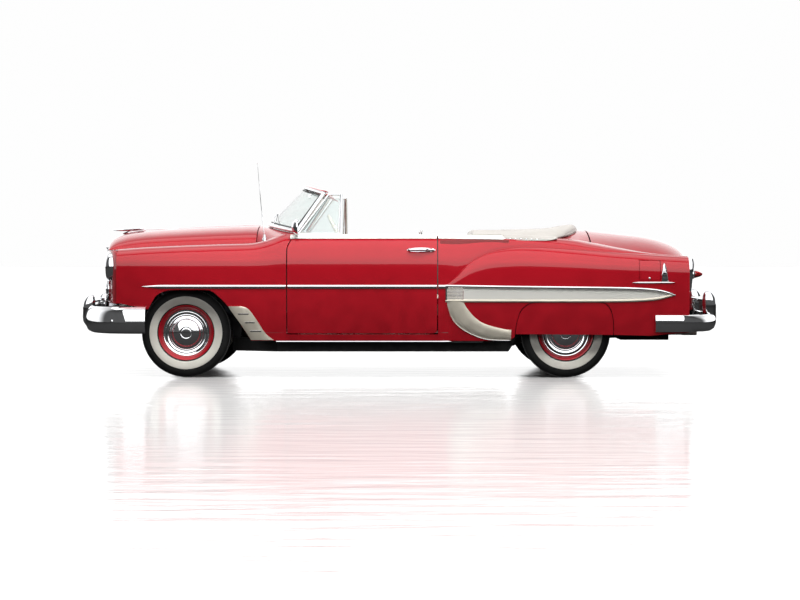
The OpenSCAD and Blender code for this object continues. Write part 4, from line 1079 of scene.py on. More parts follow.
# fuel door, fin and spear
flap = slab("flap", [[(x, sideY(x, z), z) for z in steps(flapZ[0] + 3, flapZ[1] - 3, 12)]
                     for x in steps(flapX[0] + 3, flapX[1] - 3, 12)],
            [[(x, sideY(x, z) - 5, z) for z in steps(flapZ[0] + 3, flapZ[1] - 3, 12)]
             for x in steps(flapX[0] + 3, flapX[1] - 3, 12)])
place(smooth(mirrored(flap, "fuel_flap")), "fuel_door", "red_paint", redPaint, ["fuel_door"])
bpy.data.objects.remove(flap)
knob = lathe("fuel_knob", [(0, 0), (7, 0), (7, 6), (9, 9), (7, 13), (0, 14)], (1906, -sideY(1906, 766), 766), "Y", -1,
    24)
place(smooth(knob), "fuel_door", "chrome_trim", chrome)
finTop = [(x, curve(x, [(1998, 742), (2000, 800), (2008, 850), (2020, 881), (2032, 862), (2044, 800), (2050, 742)]))
          for x in steps(1998, 2050, 16)]
fin = patch("fin", finTop, [(x, 740) for x, z in finTop], 6.0, 8, 3.0, 9.0)
pair(fin, "quarter_fin", "root", "chrome_trim", chrome)
for k in range(3):
    pair(strip("fin_bar", [(x, 765 + 28 * k, 6.5, 16.5) for x in steps(2004 + 2 * k, 2043 - 2 * k, 6)], 6),
        "fin_bar_%d" % k, "root",
         "dark_trim", darkTrim)
pair(strip("fin_spear", [(x, 733, 7.5 * min(1, 0.2 + min(x - 1774, 2104 - x) / 60), 9) for x in steps(1774, 2104, 30)],
    7),
     "fin_spear", "root", "chrome_trim", chrome)
print("side trim made")

# bumpers


def bladeBar(name, tip, end, half, section, slim=1.0, e=0.72, stations=120):
    sgn = 1 if tip < end else -1
    path = []
    for a in steps(-90, 90, stations):
        c, s = max(math.cos(math.radians(a)), 0), math.sin(math.radians(a))
        path.append((end + (tip - end) * c ** e, half * math.copysign(abs(s) ** e, s)))
    rings = []
    for i, p in enumerate(path):
        a, b = path[max(i - 1, 0)], path[min(i + 1, stations)]
        d = math.hypot(b[0] - a[0], b[1] - a[1])
        n = (-(b[1] - a[1]) / d * sgn, (b[0] - a[0]) / d * sgn)
        k = mix(1, slim, ramp(abs(i / stations * 26 - 13), 9, 12))
        rings.append([(p[0] + k * q[0] * n[0], p[1] + k * q[0] * n[1], q[1]) for q in section])
    return smooth(loft(name, rings), 60)


frontBlade = spline([[-52, 340], [-22, 356], [-5, 392], [0, 428], [-6, 480], [-20, 520], [-48, 545]], 4) + \
    spline([[-60, 540], [-34, 515], [-20, 478], [-14, 428], [-20, 394], [-34, 366], [-58, 352]], 4)
rearBlade = spline([[-44, 355], [-16, 375], [-3, 405], [0, 430], [-5, 455], [-22, 478], [-44, 485]], 4) + \
    spline([[-54, 478], [-30, 468], [-18, 450], [-14, 430], [-17, 408], [-28, 384], [-54, 366]], 4)
tipF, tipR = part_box("front_bumper")[0][0] / mm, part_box("rear_bumper")[1][0] / mm


def overRider(name, tip, sgn, y, size):
    # upright guard: rounded block, waisted, leaning back towards its top
    rings = []
    for z, d0, d1, w in size:
        ring = []
        for a in steps(0, 360, 32)[:-1]:
            c, s = math.cos(math.radians(a)), math.sin(math.radians(a))
            u, v = math.copysign(abs(c) ** 0.6, c), math.copysign(abs(s) ** 0.6, s)
            ring.append((tip + sgn * mix(d0, d1, (1 - u) / 2), y + w * v, z))
        rings.append(ring)
    return smooth(loft(name, rings), 60)


guardFront = [(z, curve(z, [(380, 30), (420, 4), (500, 1), (560, 3), (600, 22), (628, 52)]),
               curve(z, [(380, 80), (500, 94), (600, 94), (628, 82)]),
               curve(z, [(380, 22), (420, 34), (500, 38), (580, 36), (612, 30), (628, 14)])) for z in steps(380, 628,
                   24)]
guardRear = [(z, curve(z, [(368, 30), (410, 4), (500, 1), (600, 4), (636, 24), (658, 52)]),
              curve(z, [(368, 84), (500, 104), (620, 104), (658, 86)]),
              curve(z, [(368, 24), (410, 36), (500, 40), (610, 38), (642, 30), (658, 14)])) for z in steps(368, 658,
                  24)]
parts = [bladeBar("blade", tipF, f0 - 300, halfWidth - 6, frontBlade)]
parts += [overRider("guard", tipF, 1, y, guardFront) for y in (-400, 400)]
parts += [tube("upper", [(tipF + 46, y, 578) for y in steps(-400, 400, 20)], 18, 20)]
place(join("front_bumper_bar", parts), "root", "chrome_trim", chrome, ["front_bumper"])
arms = []
for y in (-1, 1):
    arms.append(block("arm", (tipF + 40, min(y * 414, y * 448), 395), (f0 - 562, max(y * 414, y * 448), 455), 4))
    arms.append(block("arm", (r0 + 880, min(y * 589, y * 622), 376), (tipR - 80, max(y * 589, y * 622), 419), 4))
place(smooth(join("bumper_arms", arms)), "root", "black_paint", chassisBlack)
parts = [bladeBar("blade", tipR, r0 + 676, halfWidth - 6, rearBlade, 0.3, 0.55)]
parts += [overRider("guard", tipR, -1, y, guardRear) for y in (-400, 400)]
parts += [tube("upper", [(tipR - 78, y, 590) for y in steps(-400, 400, 20)], 17, 20)]
place(join("rear_bumper_bar", parts), "root", "chrome_trim", chrome, ["rear_bumper"])
# plate carrier with a blank plate
carrier = [block("carrier", (tipR - 52, -160, 488), (tipR - 46, 160, 574), 1.5),
    block("bracket", (tipR - 70, -150, 562), (tipR - 52, 150, 574), 2)]
place(smooth(join("plate_carrier", carrier)), "root", "black_paint", chassisBlack)
plateBlank = [block("plate", (tipR - 45.9, -152, 492), (tipR - 43.5, 152, 566), 1.0),
              tube("rim", [(tipR - 43.5, y, z) for y, z in stadium(120, 30, (0, 529), 12)], 2.6, 8, closed=True)]
place(smooth(join("blank_plate", plateBlank)), "root", "ivory_paint", ivoryPaint)
studs = []
for y in (-89, 89):
    studs.append(lathe("stud", [(0, 0), (7, 0), (7, 3), (4, 5), (0, 5)], (tipR - 44, y, 548), "X", 1, 6))
for y in (-1, 1):
    a, b = math.radians(70), 0.72
    wing = (r0 + 676 + (tipR - r0 - 676) * math.cos(a) ** b, (halfWidth - 6) * math.sin(a) ** b)
    studs.append(lathe("stud", [(0, -6), (14, -4), (13, 3), (7, 7), (0, 8)], (wing[0], y * (wing[1] - 2), 430), "Y", y,
        28))
    a, b = math.radians(70), 0.72
    wing = (f0 - 300 + (tipF - f0 + 300) * math.cos(a) ** b, (halfWidth - 6) * math.sin(a) ** b)
    studs.append(lathe("stud", [(0, -6), (14, -4), (13, 3), (7, 7), (0, 8)], (wing[0], y * (wing[1] - 3), 436), "Y", y,
        28))
place(smooth(join("bumper_studs", studs)), "root", "chrome_trim", chrome)
print("bumpers made")
# front end


def instances(name, item, curvePoints, count, finish, spin=0.0):
    # copies of one mesh along a polyline, made with a node group and baked
    path = bpy.data.curves.new(name + " path", "CURVE")
    path.dimensions = "3D"
    line = path.splines.new("POLY")
    line.points.add(len(curvePoints) - 1)
    for p, q in zip(line.points, curvePoints):
        p.co = (*[c * mm for c in q], 1)
    obj = bpy.data.objects.new(name, path)
    bpy.context.scene.collection.objects.link(obj)
    tree = bpy.data.node_groups.new(name, "GeometryNodeTree")
    tree.interface.new_socket("Geometry", in_out="INPUT", socket_type="NodeSocketGeometry")
    countIn = tree.interface.new_socket("Count", in_out="INPUT", socket_type="NodeSocketInt")
    itemIn = tree.interface.new_socket("Item", in_out="INPUT", socket_type="NodeSocketObject")
    tree.interface.new_socket("Geometry", in_out="OUTPUT", socket_type="NodeSocketGeometry")
    new = tree.nodes.new
    enter, leave = new("NodeGroupInput"), new("NodeGroupOutput")
    spots, copies, info = new("GeometryNodeCurveToPoints"), new("GeometryNodeInstanceOnPoints"), new("GeometryNodeObjectInfo")
    real, paint = new("GeometryNodeRealizeInstances"), new("GeometryNodeSetMaterial")
    paint.inputs["Material"].default_value = finish
    link = tree.links.new
    link(enter.outputs["Geometry"], spots.inputs["Curve"])
    link(enter.outputs["Count"], spots.inputs["Count"])
    link(enter.outputs["Item"], info.inputs["Object"])
    link(spots.outputs["Points"], copies.inputs["Points"])
    link(info.outputs["Geometry"], copies.inputs["Instance"])
    if spin:
        turn = new("FunctionNodeRotateRotation")
        turn.rotation_space = "LOCAL"
        turn.inputs[1].default_value = (0, 0, spin)
        link(spots.outputs["Rotation"], turn.inputs[0])
        link(turn.outputs[0], copies.inputs["Rotation"])
    else:
        link(spots.outputs["Rotation"], copies.inputs["Rotation"]) if spin is None else None
    link(copies.outputs["Instances"], real.inputs[0])
    link(real.outputs[0], paint.inputs["Geometry"])
    link(paint.outputs[0], leave.inputs[0])
    mod = obj.modifiers.new(name, "NODES")
    mod.node_group = tree
    mod[countIn.identifier], mod[itemIn.identifier] = count, item
    bpy.context.view_layer.update()
    mesh = bpy.data.meshes.new_from_object(obj.evaluated_get(bpy.context.evaluated_depsgraph_get()))
    bpy.data.objects.remove(obj)
    bpy.data.objects.remove(item)
    out = bpy.data.objects.new(name, mesh)
    bpy.context.scene.collection.objects.link(out)
    return out


def noseAt(y, z, d=0.0):
    return (noseX + planNose(y) + d, y, z)


ring = [noseAt(y, z, -9) for y, z in stadium(560, grilleR - 12, count=36)]
parts = [tube("surround", ring, 15, 16, closed=True)]
parts.append(tube("bar", [noseAt(y, grilleMid, -3) for y in steps(-575, 575, 60)], 15, 16, 1.15))
parts.append(tube("lower bar", [noseAt(y, grilleZ[0] + 26, 10) for y in steps(-560, 560, 60)], 8, 12))
place(smooth(join("grille_frame", parts), 60), "root", "chrome_trim", chrome, ["grille"])
toothRings = []
for s in steps(0, 1, 12):
    w = 17 * math.sin(math.pi * (0.12 + 0.76 * s)) ** 0.5
    d = 20 * math.sin(math.pi * (0.12 + 0.76 * s)) ** 0.6
    toothRings.append([(d * -math.cos(a), w * math.sin(a), mix(-64, 64, s)) for a in steps(-math.pi * 0.6,
        math.pi * 0.6, 14)]
                      + [(12, w * 0.6, mix(-64, 64, s)), (12, -w * 0.6, mix(-64, 64, s))])
tooth = smooth(loft("tooth", toothRings), 50)
teeth = instances("grille_teeth", tooth, [noseAt(y, grilleMid, 2) for y in steps(-380, 380, 80)], 5, chrome)
place(teeth, "root", "chrome_trim")
# black sheet just behind the grille bars: painted shade standing in for the deep opening behind the grille
dark = slab("grille_back", [[noseAt(y, z, 34) for y in steps(-640, 640, 30)] for z in (574, 776)],
            [[noseAt(y, z, 37) for y in steps(-640, 640, 30)] for z in (574, 776)])
place(dark, "root", "dark_trim", darkTrim)
slats = [tube("slat", [noseAt(y, z, 28) for y in steps(-570, 570, 40)], 3.2, 8, 0.6) for z in range(600, 760, 22)]
place(smooth(join("grille_slats", slats)), "root", "dark_trim", darkTrim)
lampsPark = []
for y in (-1, 1):
    lampsPark.append(lathe("park", [(0, -26), (26, -24), (34, -14), (38, 0), (38, 18), (0, 18)],
        noseAt(y * 560, grilleMid, 8), "X", 1, 48))
place(smooth(join("park_lamps", lampsPark), 50), "root", "clear_glass", lampGlass)
rims = [lathe("park rim", [(38, -8), (41, -12), (44, -8), (44, 14), (38, 14), (38, -8)], noseAt(y * 560, grilleMid, 6),
    "X", 1, 48)
        for y in (-1, 1)]
place(smooth(join("park_rims", rims), 50), "root", "chrome_trim", chrome)

# headlamps: deep rounded ring, ribbed lens, bucket
head = {"x": noseX + planNose(lampY),
    "ring": [(82, -26), (86, -31), (92, -30), (99, -24), (106, -14), (111, -2), (112, 12), (112, 40),
                                               (96, 40), (92, 0), (88, -18), (82, -20), (82, -26)]}
rings = [lathe("ring", head["ring"], (head["x"], y, lampZ), "X", 1, 96) for y in (-lampY, lampY)]
place(smooth(join("headlamp_rings", rings), 45), "root", "chrome_trim", chrome, ["headlamps"])
lensShape = [(0, -36), (20, -35.5), (40, -33.5), (60, -29), (76, -22), (87, -14), (87, -8), (0, -8)]
lenses = [lathe("lens", lensShape, (head["x"], y, lampZ), "X", 1, 72) for y in (-lampY, lampY)]
place(smooth(join("headlamp_lenses", lenses), 45), "root", "clear_glass", lampGlass)
buckets = [lathe("bucket", [(0, 88), (60, 84), (88, 40), (89, 4), (86, 4), (84, 38), (0, 60)], (head["x"], y, lampZ),
    "X", 1, 48)
           for y in (-lampY, lampY)]
place(smooth(join("headlamp_buckets", buckets), 45), "root", "black_paint", chassisBlack)

# hood ornament: winged dart with a raised fin, on a long foot
dart = []
for s in steps(0, 1, 24):
    x = mix(-2306, -2052, s)
    r = 15 * math.sin(math.pi * min(1, 0.06 + s * 0.75)) ** 0.6 * (1 if s < 0.8 else 1 - (s - 0.8) * 2)
    dart.append((x, 0, 1147 - 6 * (1 - s) + 2 * s))
body = tube("dart", dart, [3 + 12 * math.sin(math.pi * min(0.97, 0.08 + 0.8 * s)) for s in steps(0, 1, 24)], 20, 0.8)
wings = []
for y in (-1, 1):
    rows = [[(-2240, y * 6, 1146), (-2120, y * 10, 1150), (-2064, y * 10, 1151)],
            [(-2180, y * 34, 1148), (-2110, y * 38, 1152), (-2060, y * 40, 1153)],
            [(-2110, y * 70, 1153), (-2078, y * 74, 1156), (-2052, y * 75, 1157)]]
    wings.append(slab("wing", rows, [[(x, b, z - 7 + abs(b) * 0.06) for x, b, z in row] for row in rows]))
fin = slab("fin",
    [[(-2190, -2.5, 1150), (-2120, -2.5, 1163), (-2056, -2.5, 1166)],
    [(-2190, -2.5, 1138), (-2120, -2.5, 1140), (-2056, -2.5, 1142)]],
           [[(-2190, 2.5, 1150), (-2120, 2.5, 1163), (-2056, 2.5, 1166)],
               [(-2190, 2.5, 1138), (-2120, 2.5, 1140), (-2056, 2.5, 1142)]])
foot = tube("foot", [(x, 0, curve(x, [(-2230, 1112), (-2150, 1128), (-2050, 1141)])) for x in steps(-2230, -2050, 12)],
            [5 + 13 * math.sin(math.pi * s) ** 0.7 for s in steps(0, 1, 12)], 16, 0.9)
place(smooth(join("hood_ornament", [body] + wings + [fin, foot]), 50), "hood", "chrome_trim", chrome)
spine = [(x, 0,
    curve(x, [(-2060, 1144), (f0 - 250, 1148), (f0 - 48, 1160), (f0 + 200, 1172), (f0 + 437, 1180), (hoodRear, 1180)]))
         for x in steps(-2060, hoodRear - 4, 40)]
place(smooth(tube("hood_spine", spine, 5.5, 12, 0.5)), "hood", "chrome_trim", chrome)
emblem = [(y, z) for y,
    z in spline([(0, 960), (70, 985), (150, 1002), (190, 1004), (120, 984), (40, 946), (0, 925)], 5)]
badge = prism("badge", emblem + [(-y, z) for y, z in reversed(emblem[1:-1])], noseX - 14, noseX + 30, "YZ")
place(smooth(badge), "root", "chrome_trim", chrome, (), "nose_badge")
print("front end made")

# windshield


def screenAt(a, h, d=0.0):
    p = screenPoint(a, h)
    return [p[0] + d, p[1], p[2]]


frameParts = [tube("foot rail", [screenAt(a, 0) for a in steps(-1, 1, 60)], screenR, 14, 0.9),
              tube("header", [screenAt(a, 1) for a in steps(-1, 1, 60)], screenR + 3, 14, 0.8)]
frameParts += [tube("post", [screenAt(a, h) for h in steps(0, 1, 12)], screenR, 14) for a in (-1, 1)]
frameParts += [tube("header cap", [screenAt(a, 1.0, 22) for a in steps(-0.96, 0.96, 50)], 9, 10)]
place(smooth(join("screen_frame", frameParts), 60), "root", "chrome_trim", chrome, ["windshield_frame"])
rubber = [tube("seal", [screenAt(a, h) for a in steps(-0.96, 0.96, 50)], 7, 8, 0.7) for h in (0.062, 0.935)]
rubber += [tube("seal", [screenAt(a, h) for h in steps(0.06, 0.935, 10)], 7, 8) for a in (-0.955, 0.955)]
place(smooth(join("screen_seal", rubber), 60), "root", "dark_trim", rubberBlack)
paneH = steps(0.06, 0.94, 12)
pane = slab("pane", [[screenAt(a, h, -2.5) for a in steps(-0.955, 0.955, 60)] for h in paneH],
            [[screenAt(a, h, 2.5) for a in steps(-0.955, 0.955, 60)] for h in paneH])
place(smooth(pane), "root", "clear_glass", windowGlass, ["windshield_glass"])
# painted header top, visors and mirror
top = [[(p[0] + dx, p[1], p[2] + dz) for p in (screenAt(a, 1) for a in steps(-0.93, 0.93, 40))]
       for dx, dz in ((-8, 17), (14, 19), (44, 13), (58, 2))]
place(smooth(slab("header_cover", top, [[(x, y, z - 5) for x, y, z in row] for row in top])), "root", "red_paint",
    redPaint)
visors = []
for y in (-1, 1):
    rows = []
    for s in steps(0, 1, 10):
        row = []
        for q in steps(0, 1, 14):
            b = y * mix(70, 480, q)
            p = screenAt(b / (halfWidth - 332), 1)
            droop = 1 - 0.06 * (abs(2 * q - 1) ** 6)
            row.append((p[0] + 42 + 118 * s * droop, b, p[2] - 4 - 52 * s))
        rows.append(row)
    visors.append(slab("visor", rows, [[(x + 5, b, z - 13) for x, b, z in row] for row in rows]))
visor = join("sun_visors", visors)
bev = visor.modifiers.new("soft", "BEVEL")
bev.width, bev.segments, bev.limit_method = 0.005, 3, "ANGLE"
place(smooth(bake(visor)), "root", "seat_vinyl", redVinyl)
rods = [tube("visor rod",
    [(screenAt(y * b / 620, 1)[0] + 44, y * b, screenAt(y * b / 620, 1)[2] - 6) for b in (66, 484)], 4, 8)
        for y in (-1, 1)]
rods += [tube("stem", [screenAt(0, 0.985, 14), (screenAt(0, 0.9)[0] + 74, 0, 1424)], 5, 10)]
place(smooth(join("visor_rods", rods)), "root", "chrome_trim", chrome)
mirrorBack = [[(f0 + 921 + 8 * math.cos(a), 105 * q, 1418 + 26 * math.sin(a) * (1 - 0.25 * q * q)) for a in steps(0,
    2 * math.pi, 20)[:-1]]
              for q in steps(-1, 1, 16)]
place(smooth(loft("inside_mirror", mirrorBack), 40), "root", "chrome_trim", chrome)
face = slab("glass face", [[(f0 + 930, y, z) for y in (-98, 98)] for z in (1400, 1436)],
            [[(f0 + 928.5, y, z) for y in (-98, 98)] for z in (1400, 1436)])
place(face, "root", "mirror_glass", silverMirror, (), "inside_mirror_face")
# wipers with arms, blades and pivots
wipe = []
for y in (-1, 1):
    pivot = (f0 + 648, y * 330, 1176)
    wipe.append(lathe("pivot", [(0, 0), (15, 0), (13, 10), (7, 18), (0, 20)], pivot, "Z", 1, 24))
    tip = screenAt(y * 60 / 740, 0.27, -24)
    wipe.append(tube("arm", [(pivot[0], pivot[1], pivot[2] + 16), (pivot[0] + 8, pivot[1] - y * 30, 1200), tip],
        [5, 4.5, 3], 10))
    blade = [screenAt(y * mix(-60, 250, s) / 740, mix(0.30, 0.14, s), -21) for s in steps(0, 1, 12)]
    wipe.append(tube("blade", blade, 3.5, 8, 1.6))
place(smooth(join("wipers", wipe), 45), "root", "chrome_trim", chrome)


# vent windows
def ventPoint(s, h):
    foot = (mix(f0 + 861, f0 + 1193, s), halfWidth - 172, beltZ + 4)
    tip = (mix(f0 + 1094, f0 + 1193, s), halfWidth - 300, 1412)
    return mix(foot, tip, h)


vent = [tube("post", [ventPoint(1, h) for h in steps(0, 1, 6)], 10.5, 14),
    tube("lead", [ventPoint(0, h) for h in steps(0, 1, 6)], 7.5, 14),
        tube("cap", [ventPoint(s, 1) for s in steps(0, 1, 6)], 7.5, 14),
            tube("sill", [ventPoint(s, 0.02) for s in steps(0, 1, 4)], 7.5, 14),
        tube("division", [ventPoint(0.93, h) for h in steps(0.02, 0.99, 6)], 4.5, 10)]
latch = lathe("latch", [(0, 0), (12, 0), (12, 6), (5, 12), (5, 26), (9, 28), (0, 30)], ventPoint(0.85, 0.18), "Y", -1,
    20)
pair(smooth(join("vent_frame", vent + [latch]), 60), "vent_frame", doorBodies, "chrome_trim", chrome, "vent_window")
ventPane = slab("vent_glass",
    [[[c + d for c, d in zip(ventPoint(s, h), (0, 2.5, 0))] for s in steps(0.03, 0.92, 6)] for h in steps(0.02, 0.98,
    8)],
                [[[c + d for c, d in zip(ventPoint(s, h), (0, -2.5, 0))] for s in steps(0.03, 0.92,
                    6)] for h in steps(0.02, 0.98, 8)])
pair(smooth(ventPane), "vent_glass", doorBodies, "clear_glass", windowGlass)

# door mirror
at = (f0 + 850, -(halfWidth - 110), 1158)
shell = lathe("shell",
    [(0, -36), (20, -34), (38, -27), (51, -15), (59, 0), (61.5, 10), (61.5, 13.6), (57, 13.8), (57, 10), (0, 10)], at,
    "X", 1, 64)
foot = tube("foot",
    [(at[0] + 8, at[1] + 26, at[2] - 26), (at[0] + 10, at[1] + 42, at[2] - 44), (at[0] + 12, at[1] + 44, beltZ)],
    [6, 7, 11], 16)
place(smooth(join("mirror_shell", [shell, foot]), 45), "door_left", "chrome_trim", chrome, ["door_mirror"])
place(smooth(lathe("mirror_face", [(0, 11.5), (56, 11.5), (56, 9), (0, 9)], at, "X", 1, 64)), "door_left",
    "mirror_glass", silverMirror)

# aerial
base = (f0 + 600, -(halfWidth - 232), 1062)
mast = [(base[0], base[1], base[2] + 10), (f0 + 572, base[1], 1340), (f0 + 545, base[1], 1653)]
mastLine = [[curve(s, [(0, mast[0][i]), (0.5, mast[1][i]), (1, mast[2][i])]) for i in range(3)] for s in steps(0, 1,
    24)]
aerial = [tube("mast", mastLine, [3.2 if s < 0.35 else (2.4 if s < 0.7 else 1.7) for s in steps(0, 1, 24)], 8),
          lathe("base", [(0, 40), (8, 38), (10, 26), (13, 16), (18, 6), (19, 0), (19, -10), (0, -10)], base, "Z", 1,
              32),
          lathe("tip", [(0, -4), (4, 0), (0, 1)], (mast[2][0], mast[2][1], 1652), "Z", 1, 12)]
place(smooth(join("aerial", aerial), 45), "root", "chrome_trim", chrome, ["antenna"])

# tail lamps: hooded chrome bezel, red lens, bullet
lampX = tailPlan(730) + 6
bezels, redParts = [], []
for y in (-1, 1):
    rings, glow = [], []
    for k, (d, grow) in enumerate(((-4, 1.0), (10, 1.0), (22, 0.97), (27, 0.86), (22, 0.76), (10, 0.74))):
        ring = []
        for s in steps(0, 2 * math.pi, 56)[:-1]:
            c, q = math.cos(s), math.sin(s)
            z = 787 + 135 * q * grow if q > 0 else 787 + 126 * q * grow
            w = mix(30, 40, ramp(z, 690, 885)) * grow * abs(c) ** 0.75 * math.copysign(1, c)
            lift = mix(0.72, 1.32, ramp(z, 680, 900))
            ring.append((lampX + d * lift, y * 770 + w, z))
        rings.append(ring)
    bezels.append(loft("bezel", rings, caps=False))
    lensRings = []
    for d, grow in ((6, 0.755), (16, 0.70), (22, 0.5), (24, 0.2)):
        lensRings.append([(lampX + d * mix(0.72, 1.2, ramp(787 + 130 * math.sin(s) * grow, 680, 900)),
                           y * 770 + mix(30, 40, 0.5) * grow * math.copysign(abs(math.cos(s)) ** 0.75, math.cos(s)),
                           787 + 130 * math.sin(s) * grow) for s in steps(0, 2 * math.pi, 40)[:-1]])
    redParts.append(loft("lens", lensRings))
    redParts.append(lathe("bullet", [(0, 104), (7, 102), (14, 92), (22, 74), (28, 52), (31, 30), (31, 22), (0, 22)],
                          (lampX, y * 770, 795), "X", 1, 40))
    bezels.append(lathe("collar", [(31, 24), (36, 26), (37, 33), (33, 40), (30, 36), (31, 24)], (lampX, y * 770, 795),
        "X", 1, 40))
place(smooth(join("tail_lamp_bezels", bezels), 50), "root", "chrome_trim", chrome, ["tail_lamps"])
place(smooth(join("tail_lamp_lenses", redParts), 50), "root", "lens_red", redLens)

# lid handle and its plain ornament
grip = [lathe("keyhole", [(0, 24), (16, 22), (20, 12), (20, 0), (0, 0)], (r0 + 1008, 0, 720), "X", 1, 32),
        tube("wing", [(r0 + 1016 + 6 * math.cos(s * math.pi / 2), 190 * s, 722 + 10 * s * s) for s in steps(-1, 1, 30)],
             [3 + 8 * (1 - abs(s)) ** 0.7 for s in steps(-1, 1, 30)], 12, 0.8)]
place(smooth(join("lid_handle", grip), 50), "trunk_lid", "chrome_trim", chrome)
print("glass, lamps and fittings made")
# wheels

rimR, capR, tyreHalf = 203.0, 132.0, 87.0
wheelSpots = {"front_left": (frontAxle, -1), "front_right": (frontAxle, 1), "rear_left": (rearAxle, -1),
    "rear_right": (rearAxle, 1)}
wheelZ = middle("tyre_front_left")[2] / mm
axleY = {k: abs(middle("tyre_" + k)[1]) / mm for k in wheelSpots}
rimR = (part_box("wheel_front_left")[1][0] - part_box("wheel_front_left")[0][0]) / mm / 2
tyreHalf = (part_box("tyre_front_left")[1][1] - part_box("tyre_front_left")[0][1]) / mm / 2


def tyreProfile():
    # from the inner bead over the tread to the outer bead
    w, r = tyreHalf, wheelR
    return spline([(rimR + 0.6, -w + 13), (rimR + 9, -w + 5), (rimR + 45, -w + 0.6), (r - 62, -w + 1.5),
        (r - 34, -w + 9),
                   (r - 15, -w + 20), (r - 7.5, -w + 32), (r - 6, -w + 46), (r - 5.5, 0), (r - 6, w - 46),
                       (r - 7.5, w - 32),
                   (r - 15, w - 20), (r - 34, w - 9), (r - 62, w - 1.5), (rimR + 45, w - 0.6), (rimR + 9, w - 5),
                   (rimR + 0.6, w - 13)], 5)


def tyreFinish():
    # white band between two radii on the sidewall, fine mould rings, black elsewhere
    f = Finish("tyre rubber and band", roughness=0.55)
    f.shader.inputs["Specular IOR Level"].default_value = 0.12
    x, z = f.node("ShaderNodeUVMap", {"uv_map": "turn"}, None), None
    radius = f.node("ShaderNodeSeparateXYZ", None, {0: x}, 0)
    band = radius.between(0.2205, 0.2215) * (1 - radius.between(0.2795, 0.2808))
    dust = f.noise(9, 5, 0.6)
    white = f.blend(dust.between(0.3, 0.8), (0.83, 0.80, 0.72), (0.74, 0.71, 0.63))
    f.put("color",
        f.blend(band, f.blend(dust.between(0.3, 0.7), (0.006, 0.006, 0.0065), (0.012, 0.012, 0.0115)), white))
    f.put("roughness", f.node("ShaderNodeMix", None, {0: band, 2: 0.62, 3: 0.5}))
    rings = (radius * 1500.0).math("SINE") * (radius.between(0.21, 0.225) * (1 - radius.between(0.31, 0.325)))
    return f.bump(rings * 0.35 + f.noise(350, 2) * 0.3, 0.25, 0.0006).material


tyrePaint = tyreFinish()


def radiusMap(obj, centre):
    layer = obj.data.uv_layers.new(name="turn")
    for loop in obj.data.loops:
        v = obj.data.vertices[loop.vertex_index].co
        layer.data[loop.index].uv = (math.hypot(v.x - centre[0] * mm, v.z - centre[2] * mm), 0.5 + v.y)


def wheelPieces(key):
    x, side = wheelSpots[key]
    at = (x, side * axleY[key], wheelZ)
    body = "wheel_" + key
    w, r = tyreHalf, rimR
    tyre = smooth(lathe("tyre", [(a, b) for a, b in tyreProfile()] + [(rimR + 0.6, -w + 13)], at, "Y", side, 144), 60)
    radiusMap(tyre, at)
    place(tyre, body, "tyre_rubber", tyrePaint, ["tyre_" + key], body + "_tyre")
    # tread blocks: two zigzag ribs and shoulder lugs
    outline = [(-8.2, -13), (1, -13), (8.2, -5), (3, 1), (8.2, 9), (1, 13), (-8.2, 13), (-1, 4), (-8.2, -3)]
    for n, (off, wide) in enumerate(((-27, 0.82), (0, 0.9), (27, 0.82))):
        lug = prism("lug", [(a * 0.95, b * wide * 0.9) for a, b in outline], -4.5, 2.2, "XY")
        blocks = treadRing("tread", lug, at, off, 104)
        place(blocks, body, "tyre_rubber", rubberBlack, (), body + "_tread_%d" % n)
    for n, off in enumerate((-47, 47)):
        lug = prism("lug", [(-6.5, -10), (6.5, -10), (6.5, 10), (-6.5, 10)], -6, 1.4, "XY")
        place(treadRing("shoulder", lug, at, off, 104), body, "tyre_rubber", rubberBlack, (), body + "_shoulder_%d" % n)
    # rim with stepped lip, disc, and drum behind
    rim = [(r - 0.6, -w + 15), (r + 6, -w + 12), (r + 8, -w + 17), (r - 2, -w + 22), (r - 16, -w + 30), (r - 26, -20),
        (r - 26, 20),
           (r - 18, w - 36), (r - 8, w - 26), (r + 0, w - 21), (r + 7, w - 17), (r + 8, w - 12.5), (r + 4, w - 10.5),
               (r - 3, w - 13),
           (r - 10, w - 20), (r - 18, w - 30), (r - 27, 34), (r - 34, 27), (r - 44, 29), (capR + 6, 22),
               (capR - 6, 20), (90, 20), (16, 20),
           (16, -40), (30, -60), (145, -60), (150, -20), (r - 32, -24), (r - 30, -w + 28), (r - 14, -w + 15),
               (r - 0.6, -w + 15)]
    rim = [(min(a, r + 8) - 6, b) for a, b in rim]
    place(smooth(lathe("rim", rim, at, "Y", side, 96), 40), body, "red_paint", redPaint, ["wheel_" + key],
        body + "_rim")
    ring = [(125, 25), (127, 31), (134, 33), (141, 31.5), (147, 34), (158, 36), (163, 34.5), (168, 37.5), (174, 42),
        (178, 42.5),
            (180.5, 38), (179, 33), (160, 28), (130, 23), (125, 25)]
    place(smooth(lathe("ring", ring, at, "Y", side, 96), 30), body, "chrome_trim", chrome, (), body + "_trim_ring")
    cap = spline([(capR - 1, 20), (capR, 27), (capR - 4, 33), (capR - 14, 36), (capR - 22, 39), (capR - 26, 46),
        (capR - 36, 54), (70, 62),
                  (52, 66), (44, 66.5), (40, 64.5), (36, 66.5), (22, 67.6), (0.2, 68)], 3)
    place(smooth(lathe("cap", cap + [(0.2, 40), (capR - 8, 18), (capR - 1, 20)], at, "Y", side, 96), 40), body,
        "chrome_trim",
          chrome, (), body + "_cap")
    stem = tube("stem", [(x + 168, at[1] + side * 22, wheelZ), (x + 160, at[1] + side * 42, wheelZ)], 4, 10)
    place(smooth(stem), body, "black_paint", rubberBlack, (), body + "_valve")


